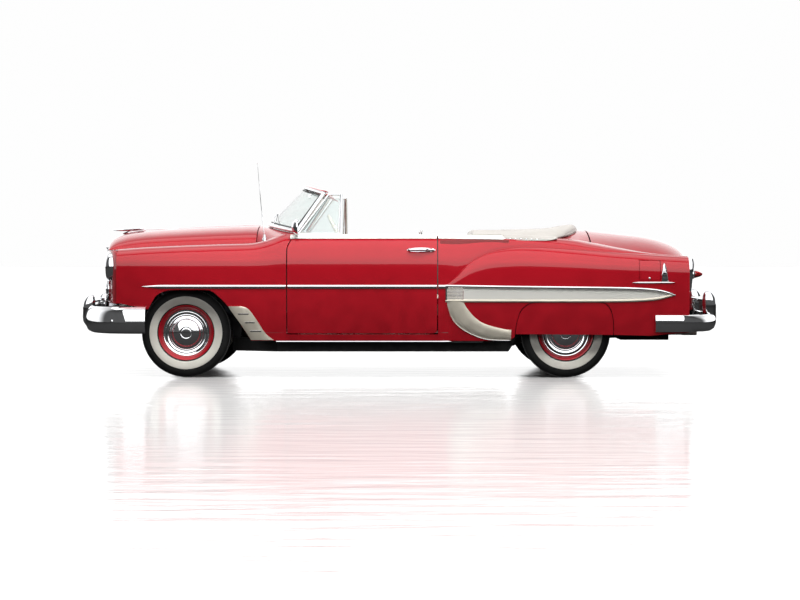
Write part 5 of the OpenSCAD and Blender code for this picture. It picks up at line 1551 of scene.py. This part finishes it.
def treadRing(name, lug, at, off, count):
    # one block repeated round the tread with a node group
    group = bpy.data.node_groups.new(name, "GeometryNodeTree")
    group.interface.new_socket("Geometry", in_out="INPUT", socket_type="NodeSocketGeometry")
    sockets = {label: group.interface.new_socket(label, in_out="INPUT", socket_type="NodeSocket" + kind)
               for label, kind in (("Count", "Int"), ("Radius", "Float"), ("Block", "Object"))}
    group.interface.new_socket("Geometry", in_out="OUTPUT", socket_type="NodeSocketGeometry")
    new, link = group.nodes.new, group.links.new
    enter, leave = new("NodeGroupInput"), new("NodeGroupOutput")
    ring, copies, info = new("GeometryNodeMeshCircle"), new("GeometryNodeInstanceOnPoints"), new("GeometryNodeObjectInfo")
    index, per, turn, rot = new("GeometryNodeInputIndex"), new("ShaderNodeMath"), new("ShaderNodeCombineXYZ"), new("ShaderNodeMath")
    real, paint = new("GeometryNodeRealizeInstances"), new("GeometryNodeSetMaterial")
    per.operation, rot.operation = "DIVIDE", "MULTIPLY"
    paint.inputs["Material"].default_value = rubberBlack
    link(enter.outputs["Count"], ring.inputs["Vertices"])
    link(enter.outputs["Radius"], ring.inputs["Radius"])
    link(ring.outputs["Mesh"], copies.inputs["Points"])
    link(enter.outputs["Block"], info.inputs["Object"])
    link(info.outputs["Geometry"], copies.inputs["Instance"])
    link(index.outputs[0], per.inputs[0])
    link(enter.outputs["Count"], per.inputs[1])
    link(per.outputs[0], rot.inputs[0])
    rot.inputs[1].default_value = 2 * math.pi
    link(rot.outputs[0], turn.inputs[2])
    link(turn.outputs[0], copies.inputs["Rotation"])
    link(copies.outputs[0], real.inputs[0])
    link(real.outputs[0], paint.inputs["Geometry"])
    link(paint.outputs[0], leave.inputs[0])
    lug.data.transform(Matrix.Rotation(math.pi / 2, 4, "Y"))
    host = bpy.data.objects.new(name, bpy.data.meshes.new(name))
    bpy.context.scene.collection.objects.link(host)
    mod = host.modifiers.new(name, "NODES")
    mod.node_group = group
    for label, value in (("Count", count), ("Radius", (wheelR - 4.6) * mm), ("Block", lug)):
        mod[sockets[label].identifier] = value
    bpy.context.view_layer.update()
    mesh = bpy.data.meshes.new_from_object(host.evaluated_get(bpy.context.evaluated_depsgraph_get()))
    bpy.data.objects.remove(host)
    bpy.data.objects.remove(lug)
    mesh.transform(Matrix.Translation((at[0] * mm, (at[1] + off) * mm, at[2] * mm)) @ Matrix.Rotation(math.pi / 2, 4,
        "X"))
    out = bpy.data.objects.new(name, mesh)
    bpy.context.scene.collection.objects.link(out)
    return out


for key in wheelSpots:
    wheelPieces(key)
print("wheels made")

# cabin

floorTop, tunnelHalf, tunnelTop = 345.0, 115.0, 455.0


def benchShape(x0, x1, z0, z1, xb, zt):
    cushion = [(x0 + 8, z0 + 75), (x0, z1 - 45), (x0 + 14, z1 - 8), (x0 + 45, z1), (x1 - 60, z1 - 18), (x1, z1 - 34),
        (x1 + 6, z1 - 120),
               (x1, z0 + 70)]
    back = [(x1 + 6, z0 + 120), (x1 + 20, z1 - 60), (x1 + 40, z1 + 60), (x1 + 66, zt - 60), (x1 + 84, zt - 10),
        (xb + 8, zt),
            (xb + 32, zt - 16), (xb + 36, zt - 60), (xb + 4, z0 + 130)]
    return cushion, back


def pleated(name, outline, half, split):
    # sections across, rounded toward the ends, pleats pressed in along the seams
    seams = [c * half for c in split]
    ys = sorted(set(steps(-half, half, 96) + seams))
    n = len(outline)
    mid = [sum(p[k] for p in outline) / n for k in (0, 1)]
    rings = []
    for y in ys:
        e = 1 - (abs(y) / half) ** 14 * 0.16
        d = min(abs(y - s) for s in seams) if seams else 99
        puff = 6.0 * math.exp(-(d / 6.5) ** 2)
        ring = []
        for p in outline:
            v = (p[0] - mid[0], p[1] - mid[1])
            L = math.hypot(*v) or 1
            k = e - puff / L
            ring.append((mid[0] + v[0] * k, y, mid[1] + v[1] * k))
        rings.append(ring)
    obj = loft(name, rings)
    return obj


def blown(obj, cap=24.0, pressure=3.5, shrink=-0.02):
    # lets the cover swell a little against its own seams
    remesh = obj.modifiers.new("even", "REMESH")
    remesh.mode, remesh.voxel_size, remesh.use_smooth_shade = "VOXEL", 0.014, True
    bake(obj)
    start = [v.co.copy() for v in obj.data.vertices]
    sim = obj.modifiers.new("cover", "CLOTH")
    s = sim.settings
    s.quality, s.mass, s.use_pressure, s.uniform_pressure_force = 6, 0.35, True, pressure
    s.tension_stiffness = s.compression_stiffness = 18
    s.shear_stiffness, s.bending_stiffness, s.shrink_min = 12, 1.2, shrink
    s.effector_weights.gravity = 0.0
    scene = bpy.context.scene
    sim.point_cache.frame_start, sim.point_cache.frame_end = 1, 14
    for frameNo in range(1, 15):
        scene.frame_set(frameNo)
    bake(obj)
    scene.frame_set(1)
    for v, p in zip(obj.data.vertices, start):
        move = v.co - p
        if move.length > cap * mm:
            v.co = p + move * (cap * mm / move.length)
    return smooth(obj, 60)


pleats = [i / 9 for i in range(-8, 9)]
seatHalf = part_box("front_seat")[1][1] / mm - 6
for name, node, x1, dz, zt, xb, half in (("front", "front_seat", lockLine - 430, 640, 1068, lockLine - 300, seatHalf),
                                         ("rear", "rear_seat", r0 - 800, 610, 1076, r0 - 690, seatHalf - 30)):
    deep = 480 if name == "front" else 400
    cushion, back = benchShape(x1 - deep, x1, floorTop, dz, xb, zt)
    inner = [(p[0], p[1]) for p in spline(cushion + cushion[:1], 4)[:-1]]
    seat = pleated(name + "_cushion", inner, half - 8, pleats)
    rest = pleated(name + "_backrest", [tuple(p) for p in spline(back + back[:1], 4)[:-1]], half - 8, pleats)
    for obj in (seat, rest):
        blown(obj, 12.0, 1.6)
        place(obj, "root", "seat_vinyl", ivoryVinyl, [node] if obj is seat else ())
    sides = []
    for y in (-1, 1):
        for outline in (cushion, back):
            c = [sum(p[k] for p in outline) / len(outline) for k in (0, 1)]
            big = [(c[0] + (p[0] - c[0]) * 1.0, c[1] + (p[1] - c[1]) * 1.0) for p in outline]
            sides.append(prism("bolster", [tuple(p) for p in spline(big + big[:1], 4)[:-1]], y * (half - 6),
                y * (half + 3)))
    place(smooth(join(name + "_seat_sides", sides), 50), "root", "seat_vinyl", redVinyl)
    base = block("base", (x1 - deep + 66, -half + 30, floorTop + 6), (xb - 6, -tunnelHalf - 30, floorTop + 110), 6)
    other = block("base", (x1 - deep + 66, tunnelHalf + 30, floorTop + 6), (xb - 6, half - 30, floorTop + 110), 6)
    place(smooth(join(name + "_seat_base", [base, other])), "root", "dark_trim", darkTrim)
    piping = []
    for outline in (cushion, back):
        line = spline(outline + outline[:1], 4)[:-1]
        for y in (-1, 1):
            piping.append(tube("piping", [(p[0], y * (half + 1), p[1]) for p in line], 3.5, 8, closed=True))
    place(smooth(join(name + "_seat_piping", piping)), "root", "seat_vinyl", redVinyl)
print("seats made")

# dashboard and controls

helm = (f0 + 1179, -380, 1070)
helmTurn = Matrix.Translation([c * mm for c in helm]) @ Matrix.Rotation(math.radians(62.1), 4, "Y")


def onColumn(obj):
    obj.data.transform(helmTurn)
    return obj


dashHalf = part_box("dashboard")[1][1] / mm
dashLine = spline([(f0 + 802, 1042), (f0 + 870, 1058), (f0 + 925, 1063), (f0 + 945, 1048), (f0 + 950, 1010),
    (f0 + 956, 965),
                   (f0 + 948, 925), (f0 + 934, 880), (f0 + 920, 860), (f0 + 840, 852)], 5)
front = [[(x, y, z) for x, z in dashLine] for y in steps(-dashHalf + 2, dashHalf - 2, 40)]
back = [[(x - 6 if z > 870 else x, y, z - 5) for x, y, z in row] for row in front]
place(smooth(slab("dash_panel", front, back), 40), "root", "red_paint", redPaint, ["dashboard"])
lowPanel = [[(x + 1.5, y, z) for x, z in dashLine if z < 960] for y in steps(-dashHalf + 6, dashHalf - 6, 40)]
place(smooth(slab("dash_lower", lowPanel, [[(x - 4, y, z) for x, y, z in row] for row in lowPanel]), 40), "root",
    "ivory_paint", ivoryPaint)
dials, faces, needles = [], [], []
for y, z, r in ((-452, 985, 44), (-308, 985, 44), (0, 992, 30), (380, 985, 30)):
    spot = (f0 + 954, y, z)
    dials.append(lathe("bezel", [(r, -6), (r + 3, 4), (r + 7, 6), (r + 9, 1), (r + 9, -8)], spot, "X", 1, 48))
    faces.append(lathe("face", [(0, 0), (r - 1, 0), (r - 1, -5), (0, -5)], spot, "X", 1, 40))
    for a in steps(-130, 130, 10):
        c, s = math.sin(math.radians(a)), math.cos(math.radians(a))
        needles.append(tube("tick",
            [(spot[0] + 0.6, y + c * (r - 8), z + s * (r - 8)), (spot[0] + 0.6, y + c * (r - 4), z + s * (r - 4))],
            0.9, 4))
    needles.append(tube("needle", [(spot[0] + 1.5, y, z), (spot[0] + 1.5, y - 0.6 * r, z - 0.3 * r)], [1.6, 0.5], 6))
for y in (-560, -240, -170, -60, 60, 120, 200, 560):
    dials.append(lathe("knob", [(6, -6), (6, 8), (12, 12), (13, 20), (10, 25), (0, 26)], (f0 + 948, y, 925), "X", 1,
        24))
for z in (900, 950):
    dials.append(tube("dash bar",
        [(f0 + (948 if z > 920 else 936), y, z + 2) for y in steps(-dashHalf + 20, dashHalf - 20, 30)], 3.5, 8))
grillBars = [tube("bar", [(f0 + 953.5, y, z) for y in (-120, 120)], 2.4, 8) for z in range(955, 1032, 11)]
place(smooth(join("dash_bright", dials + grillBars), 45), "root", "chrome_trim", chrome)
place(smooth(join("dial_faces", faces)), "root", "ivory_paint", ivoryPaint)
place(join("dial_marks", needles), "root", "dark_trim", darkTrim)
box_ = [tube("glove line", [(f0 + 955, y, z) for y, z in stadium(110, 34, (330 + 60, 985), 10)], 2.0, 6, closed=True)]
place(smooth(join("glove_lid_seam", box_)), "root", "dark_trim", darkTrim)

wheelRimR, grip = 216.0, 13.0
rimRings = []
for k in range(180):
    a = 2 * math.pi * k / 180
    r = grip - 1.4 * (0.5 + 0.5 * math.cos(k * math.pi / 2.5)) * (1 if math.cos(a * 3) > -0.3 else 0.2)
    rimRings.append([((wheelRimR - grip + r * math.cos(b)) * math.cos(a),
        (wheelRimR - grip + r * math.cos(b)) * math.sin(a), r * math.sin(b))
                     for b in steps(0, 2 * math.pi, 16)[:-1]])
rim = loft("rim", rimRings, closed=True)
spokes = []
for a in (20, 160, 270):
    c, s = math.cos(math.radians(a)), math.sin(math.radians(a))
    rings = []
    for q in steps(0, 1, 12):
        r, w, t = mix(22, wheelRimR - grip - 3, q), mix(17, 10, q) + 6 * max(0, q - 0.85) / 0.15, 5
        z = -14 + 14 * q ** 1.6
        rings.append([(r * c - w * math.cos(b) * s, r * s + w * math.cos(b) * c, z + t * math.sin(b)) for b in steps(0,
            2 * math.pi, 14)[:-1]])
    spokes.append(loft("spoke", rings))
hub = lathe("hub", [(0, -32), (32, -32), (34, -20), (30, -4), (22, 4), (0, 4)], (0, 0, 0), "Z", 1, 48)
place(smooth(onColumn(join("wheel_moulding", [rim] + spokes + [hub])), 60), "steering_wheel", "wheel_plastic",
    wheelIvory,
      ["steering_wheel"])
horn = [(118 * math.cos(a), 118 * math.sin(a), -4) for a in steps(math.radians(-200), math.radians(20), 60)]
bright = [tube("horn ring", horn, 3.2, 10),
    lathe("cap", [(0, 12), (10, 11.6), (20, 9), (26, 4), (27, 1), (0, 0)], (0, 0, 0), "Z", 1, 48)]
for a in (20, 160):
    c, s = math.cos(math.radians(a)), math.sin(math.radians(a))
    bright.append(tube("horn arm", [(24 * c, 24 * s, -2), (118 * c, 118 * s, -4)], 3.2, 10))
place(smooth(onColumn(join("horn_ring", bright)), 50), "steering_wheel", "chrome_trim", chrome)
levers = [tube("lever", [(0, -22, -70), (20, -120, -60), (24, -170, -52)], [4, 3.5, 4], 10),
          tube("lever", [(0, 22, -75), (30, 120, -62), (36, 175, -52)], [4.5, 4, 4.5], 10)]
knobs = [lathe("lever knob", [(0, -9), (6, -7), (8.5, 0), (6, 7), (0, 9)], at_, "Z", 1,
    20) for at_ in ((24, -176, -51), (36, 181, -51))]
place(smooth(onColumn(join("column_levers", levers)), 50), "root", "chrome_trim", chrome)
place(smooth(onColumn(join("lever_knobs", knobs)), 50), "root", "wheel_plastic", wheelIvory)

# door inner trim, armrests, cranks


def flipSide(obj):
    obj.data.transform(Matrix.Scale(-1, 4, (0, 1, 0)))
    obj.data.flip_normals()
    return obj


for name, side, body in (("left", -1, "door_left"), ("right", 1, "door_right")):
    sheets = []
    for z0, z1, finish, slotName in ((385, 690, redVinyl, "seat_vinyl"), (700, 1050, ivoryVinyl, "seat_vinyl")):
        rows = [[(x, doorIn(z) - 1, z) for x in steps(-800, 240, 30)] for z in steps(z0, z1, 14)]
        obj = slab("trim", rows,
            [[(x, y - 6 - 2.5 * abs(math.sin(x / 38)) * (z0 > 695), z) for x, y, z in row] for row in rows])
        obj = obj if side > 0 else flipSide(obj)
        place(smooth(obj, 60), body, slotName, finish, (), "door_trim_%s_%s" % (name, "upper" if z0 > 695 else "lower"))
    arm = loft("arm", [[(x, side * (doorIn(800) - 6 - 58 * w + 0), 790 + 26 * h) for w, h in
                        ((0, -1), (0.5, -1), (0.9, -0.7), (1, 0), (0.9, 0.8), (0.5, 1), (0, 1))]
                       for x in steps(-420, -60, 16)])
    place(smooth(arm, 60), body, "seat_vinyl", redVinyl, (), "armrest_" + name)
    bits = [tube("strip", [(x, side * (doorIn(695) - 8), 695) for x in (-800, 240)], 4, 8)]
    for x, z in ((-560, 730), (-120, 880)):
        y = side * (doorIn(z) - 8)
        bits.append(lathe("boss", [(16, 0), (15, 8), (9, 12), (0, 13)], (x, y, z), "Y", -side, 28))
        bits.append(tube("crank",
            [(x, y - side * 10, z), (x + 60, y - side * 22, z - 50), (x + 84, y - side * 24, z - 66)], [6, 5, 5], 10))
        bits.append(lathe("crank knob", [(0, 0), (9, 1), (10, 12), (7, 20), (0, 21)], (x + 84, y - side * 22, z - 66),
            "Y", -side, 20))
    place(smooth(join("door_handles_" + name, bits), 50), body, "chrome_trim", chrome)

# carpets and sill plates
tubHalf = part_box("floor_pan")[1][1] / mm - 16
rugs = []
for side in (-1, 1):
    y0, y1 = sorted((side * 137, side * (tubHalf - 2)))
    rugs.append(block("rug", (f0 + 504, y0, floorTop + 1), (r0 - 434, y1, floorTop + 8), 2, 2))
    rugs.append(block("board", (f0 + 502, y0, floorTop + 8), (f0 + 510, y1, 780), 2, 2))
rugs.append(block("hump", (f0 + 502, -136, tunnelTop + 19), (r0 - 360, 136, tunnelTop + 26), 5, 3))
for side in (-1, 1):
    y0, y1 = sorted((side * 134, side * 141))
    rugs.append(block("hump side", (f0 + 502, y0, floorTop + 2), (r0 - 430, y1, tunnelTop + 25), 2, 2))
place(smooth(join("carpet", rugs)), "root", "dark_trim", carpet)
plates = []
for side in (-1, 1):
    y0, y1 = sorted((side * (sideW - 112), side * (sideW - 78)))
    plates.append(block("scuff", (f0 + 860, y0, 335.5), (lockLine - 60, y1, 338.5), 1, 1))
place(smooth(join("scuff_plates", plates)), "root", "stainless", stainless)
mats = []
for side in (-1, 1):
    for z in (0,):
        y0, y1 = sorted((side * (tubHalf + 1.5), side * (tubHalf - 5)))
        mats.append(block("rear trim", (lockLine + 20, y0, 420), (r0 - 440, y1, 1060), 3, 2))
        mats.append(block("kick trim", (f0 + 512, y0, 420), (hingeLine - 20, y1, 800), 3, 2))
place(smooth(join("side_trims", mats)), "root", "seat_vinyl", redVinyl)
pedals = []
for y, w in ((-330, 34), (-430, 34), (-250, 24)):
    pedals.append(block("pad", (f0 + 640, y - w, 455), (f0 + 652, y + w, 520), 4, 2))
    pedals.append(tube("stalk", [(f0 + 640, y, 480), (f0 + 560, y, 430), (f0 + 510, y, 420)], 6, 8))
place(smooth(join("pedals", pedals)), "root", "dark_trim", rubberBlack)
print("cabin trim made")

# boot over the folded top
bootTop = [(556, 1139), (984, 1146), (1198, 1159), (1330, 1181), (1420, 1191)]
bootLow = [(793, 1058), (1091, 1054), (1180, 1060), (1229, 1072), (1290, 1090)]


def bootPoint(u, a, t):
    s = abs(a)
    rear = 1410 - 197 * min(s, 1.0) ** 4.2
    x = mix(556, rear, u)
    side = math.copysign(1, a)
    e, ez = edgeY(x), edgeZ(x)
    crown = curve(x, bootTop)
    crown += 3.0 * math.sin(x / 46 + 5 * a) * math.sin(3.1 * a + x / 130) * (1 - u ** 6)
    inset = mix(20, 6, ramp(x, 786, 796))
    z = mix(crown, ez + 12, min(s, 1.0) ** 5)
    y = min(s, 1.0) * (e - inset)
    if s > 1:
        k = (s - 1) / 0.25
        low = curve(x, bootLow)
        flap = ramp(x, 786, 796) * (1 - ramp(x, 1215, 1262))
        turn = math.sin(k * math.pi / 2)
        y = e - inset + flap * (max(sideY(x, low) + 7, e + 2) - e + inset) * turn
        z = ez + 12 - flap * (ez + 12 - low) * (1 - math.cos(k * math.pi / 2)) - (1 - flap) * 14 * k
    if u > 0.93:
        f = (u - 0.93) / 0.07
        floorZ = mix(1147, edgeZ(x), min(s, 1.0) ** 2.2) + 3
        z = mix(floorZ, z, math.sqrt(max(0, 1 - f ** 2.4)))
    if u < 0.03:
        z -= 40 * ((0.03 - u) / 0.03) ** 2
    return (x, y * side, z - t)


acrossList = [a * 1.25 for a in steps(-1, 1, 110)]
alongList = [0, 0.008, 0.016, 0.024, 0.03] + steps(0.05, 0.27, 10) + steps(0.277, 0.29, 5) + steps(0.3, 0.93, 46) + \
    [0.94, 0.95, 0.96, 0.97, 0.98, 0.988, 0.995, 1.0]
rows = [[bootPoint(u, a, 0) for a in acrossList] for u in alongList]
cover = smooth(slab("boot_cover", rows,
    [[(x, y * (1 - 2.2 / max(abs(y), 60)), z - 2.2) for x, y, z in row] for row in rows]), 60)
place(cover, "root", "ivory_cloth", ivoryCloth, ["top_boot"])
hem = []
for side in (-1, 1):
    hem.append(tube("hem",
        [(lambda p: (p[0], p[1] + side * 1.0, p[2]))(bootPoint(u, side * 1.25,
        0)) for u in alongList if 0.287 < u < 0.93], 3.2, 8))
hem.append(tube("hem", [bootPoint(0.999, a, -2) for a in steps(-0.98, 0.98, 70)], 3.2, 8))
place(smooth(join("boot_hem", hem)), "root", "ivory_cloth", ivoryCloth)
snapSpots = [bootPoint(u, side * 1.2, 0) for side in (-1, 1) for u in steps(0.32, 0.76, 7)]
snaps = [lathe("snap", [(0, 2.5), (5, 2), (6.5, 0), (6.5, -2), (0, -2)],
    (p[0], p[1] + math.copysign(1.5, p[1]), p[2] - 4), "Y",
               math.copysign(1, p[1]), 16) for p in snapSpots]
place(smooth(join("boot_snaps", snaps)), "root", "chrome_trim", chrome)
folded = []
for k, (x, z, r) in enumerate(((620, 1088, 34), (700, 1092, 38), (790, 1092, 38), (880, 1092, 38), (970, 1094, 38),
    (1060, 1096, 38), (1150, 1100, 38), (1240, 1104, 36))):
    folded.append(tube("fold", [(x, y, z - 14 * (abs(y) / 640) ** 4) for y in steps(-640, 640, 24)], r, 14, 0.8))
place(smooth(join("folded_top", folded)), "root", "ivory_cloth", ivoryCloth)
print("boot made")

# engine bay dressing
bay = []
cover_ = [[(x, y, z) for y,
    z in ((-62, 900), (-60, 940), (-44, 962), (0, 970), (44, 962), (60, 940), (62, 900))] for x in steps(f0 - 190,
    f0 + 400, 8)]
bay.append(loft("rocker", cover_))
place(smooth(join("rocker_cover", bay), 40), "root", "cast_metal", engineBlue)
cleaner = [lathe("cleaner", [(0, 66), (40, 66), (104, 60), (112, 48), (112, 10), (98, 0), (0, 0)],
    (f0 + 120, 150, 930), "Z", 1, 56),
           lathe("carb", [(0, 0), (42, 0), (42, -26), (30, -30), (30, -60), (0, -60)], (f0 + 120, 150, 930), "Z", 1,
               32)]
place(smooth(join("air_cleaner", cleaner), 40), "root", "black_paint", chassisBlack)
battery = block("battery", (f0 - 330, 300, 700), (f0 - 80, 460, 900), 6, 3)
place(smooth(battery), "root", "dark_trim", rubberBlack)
posts = [lathe("post", [(9, 0), (8, 16), (0, 16)], (f0 - 290 + 170 * k, 380, 899), "Z", 1, 16) for k in (0, 1)]
posts += [tube("hose clip", [(f0 - 398 + 0 * k, 0, 900), (f0 - 390, 0, 902)], 26, 20) for k in (0,)]
place(smooth(join("battery_posts", posts)), "root", "cast_metal", castMetal)
hoses = [tube("upper hose",
    spline([(f0 - 400, 60, 890), (f0 - 360, 60, 905), (f0 - 300, 50, 900), (f0 - 240, 40, 880)], 5), 22, 14),
         tube("lower hose",
             spline([(f0 - 400, -120, 500), (f0 - 350, -130, 495), (f0 - 290, -150, 520), (f0 - 238, -160, 560)], 5),
             20, 14)]
plugs = [tube("lead",
    spline([(f0 - 60 + 85 * k, -70, 905), (f0 - 60 + 85 * k, -120, 925 - 6 * k), (f0 + 150, -180, 930 - 12 * k),
    (f0 + 160, -214, 880)], 5), 4, 8)
         for k in range(6)]
place(smooth(join("hoses_and_leads", hoses + plugs)), "root", "dark_trim", rubberBlack)
fins = [block("fin", (f0 - 462.5, -284, z), (f0 - 459.8, 284, z + 2.2)) for z in range(452, 922, 12)]
place(join("radiator_fins", fins), "root", "black_paint", chassisBlack)
aprons = [block("apron", (f0 - 400, min(y, y + 6 * s), 572), (f0 - 243, max(y, y + 6 * s), 705), 1, 1)
          for s, y in ((-1, -640), (1, 640))]
place(join("wheel_house_aprons", aprons), "root", "black_paint", underseal)

for node, finish in {"chassis_frame": chassisBlack, "floor_pan": underseal, "rear_axle": chassisBlack,
    "front_suspension": chassisBlack,
                     "engine_block": engineBlue, "radiator": chassisBlack, "fuel_tank": underseal,
                         "exhaust": exhaustMetal,
                     "steering_column": darkTrim, "knuckle_left": castMetal, "knuckle_right": castMetal}.items():
    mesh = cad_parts[node].data
    mesh.materials.clear()
    mesh.materials.append(finish)
print("underbody finished")
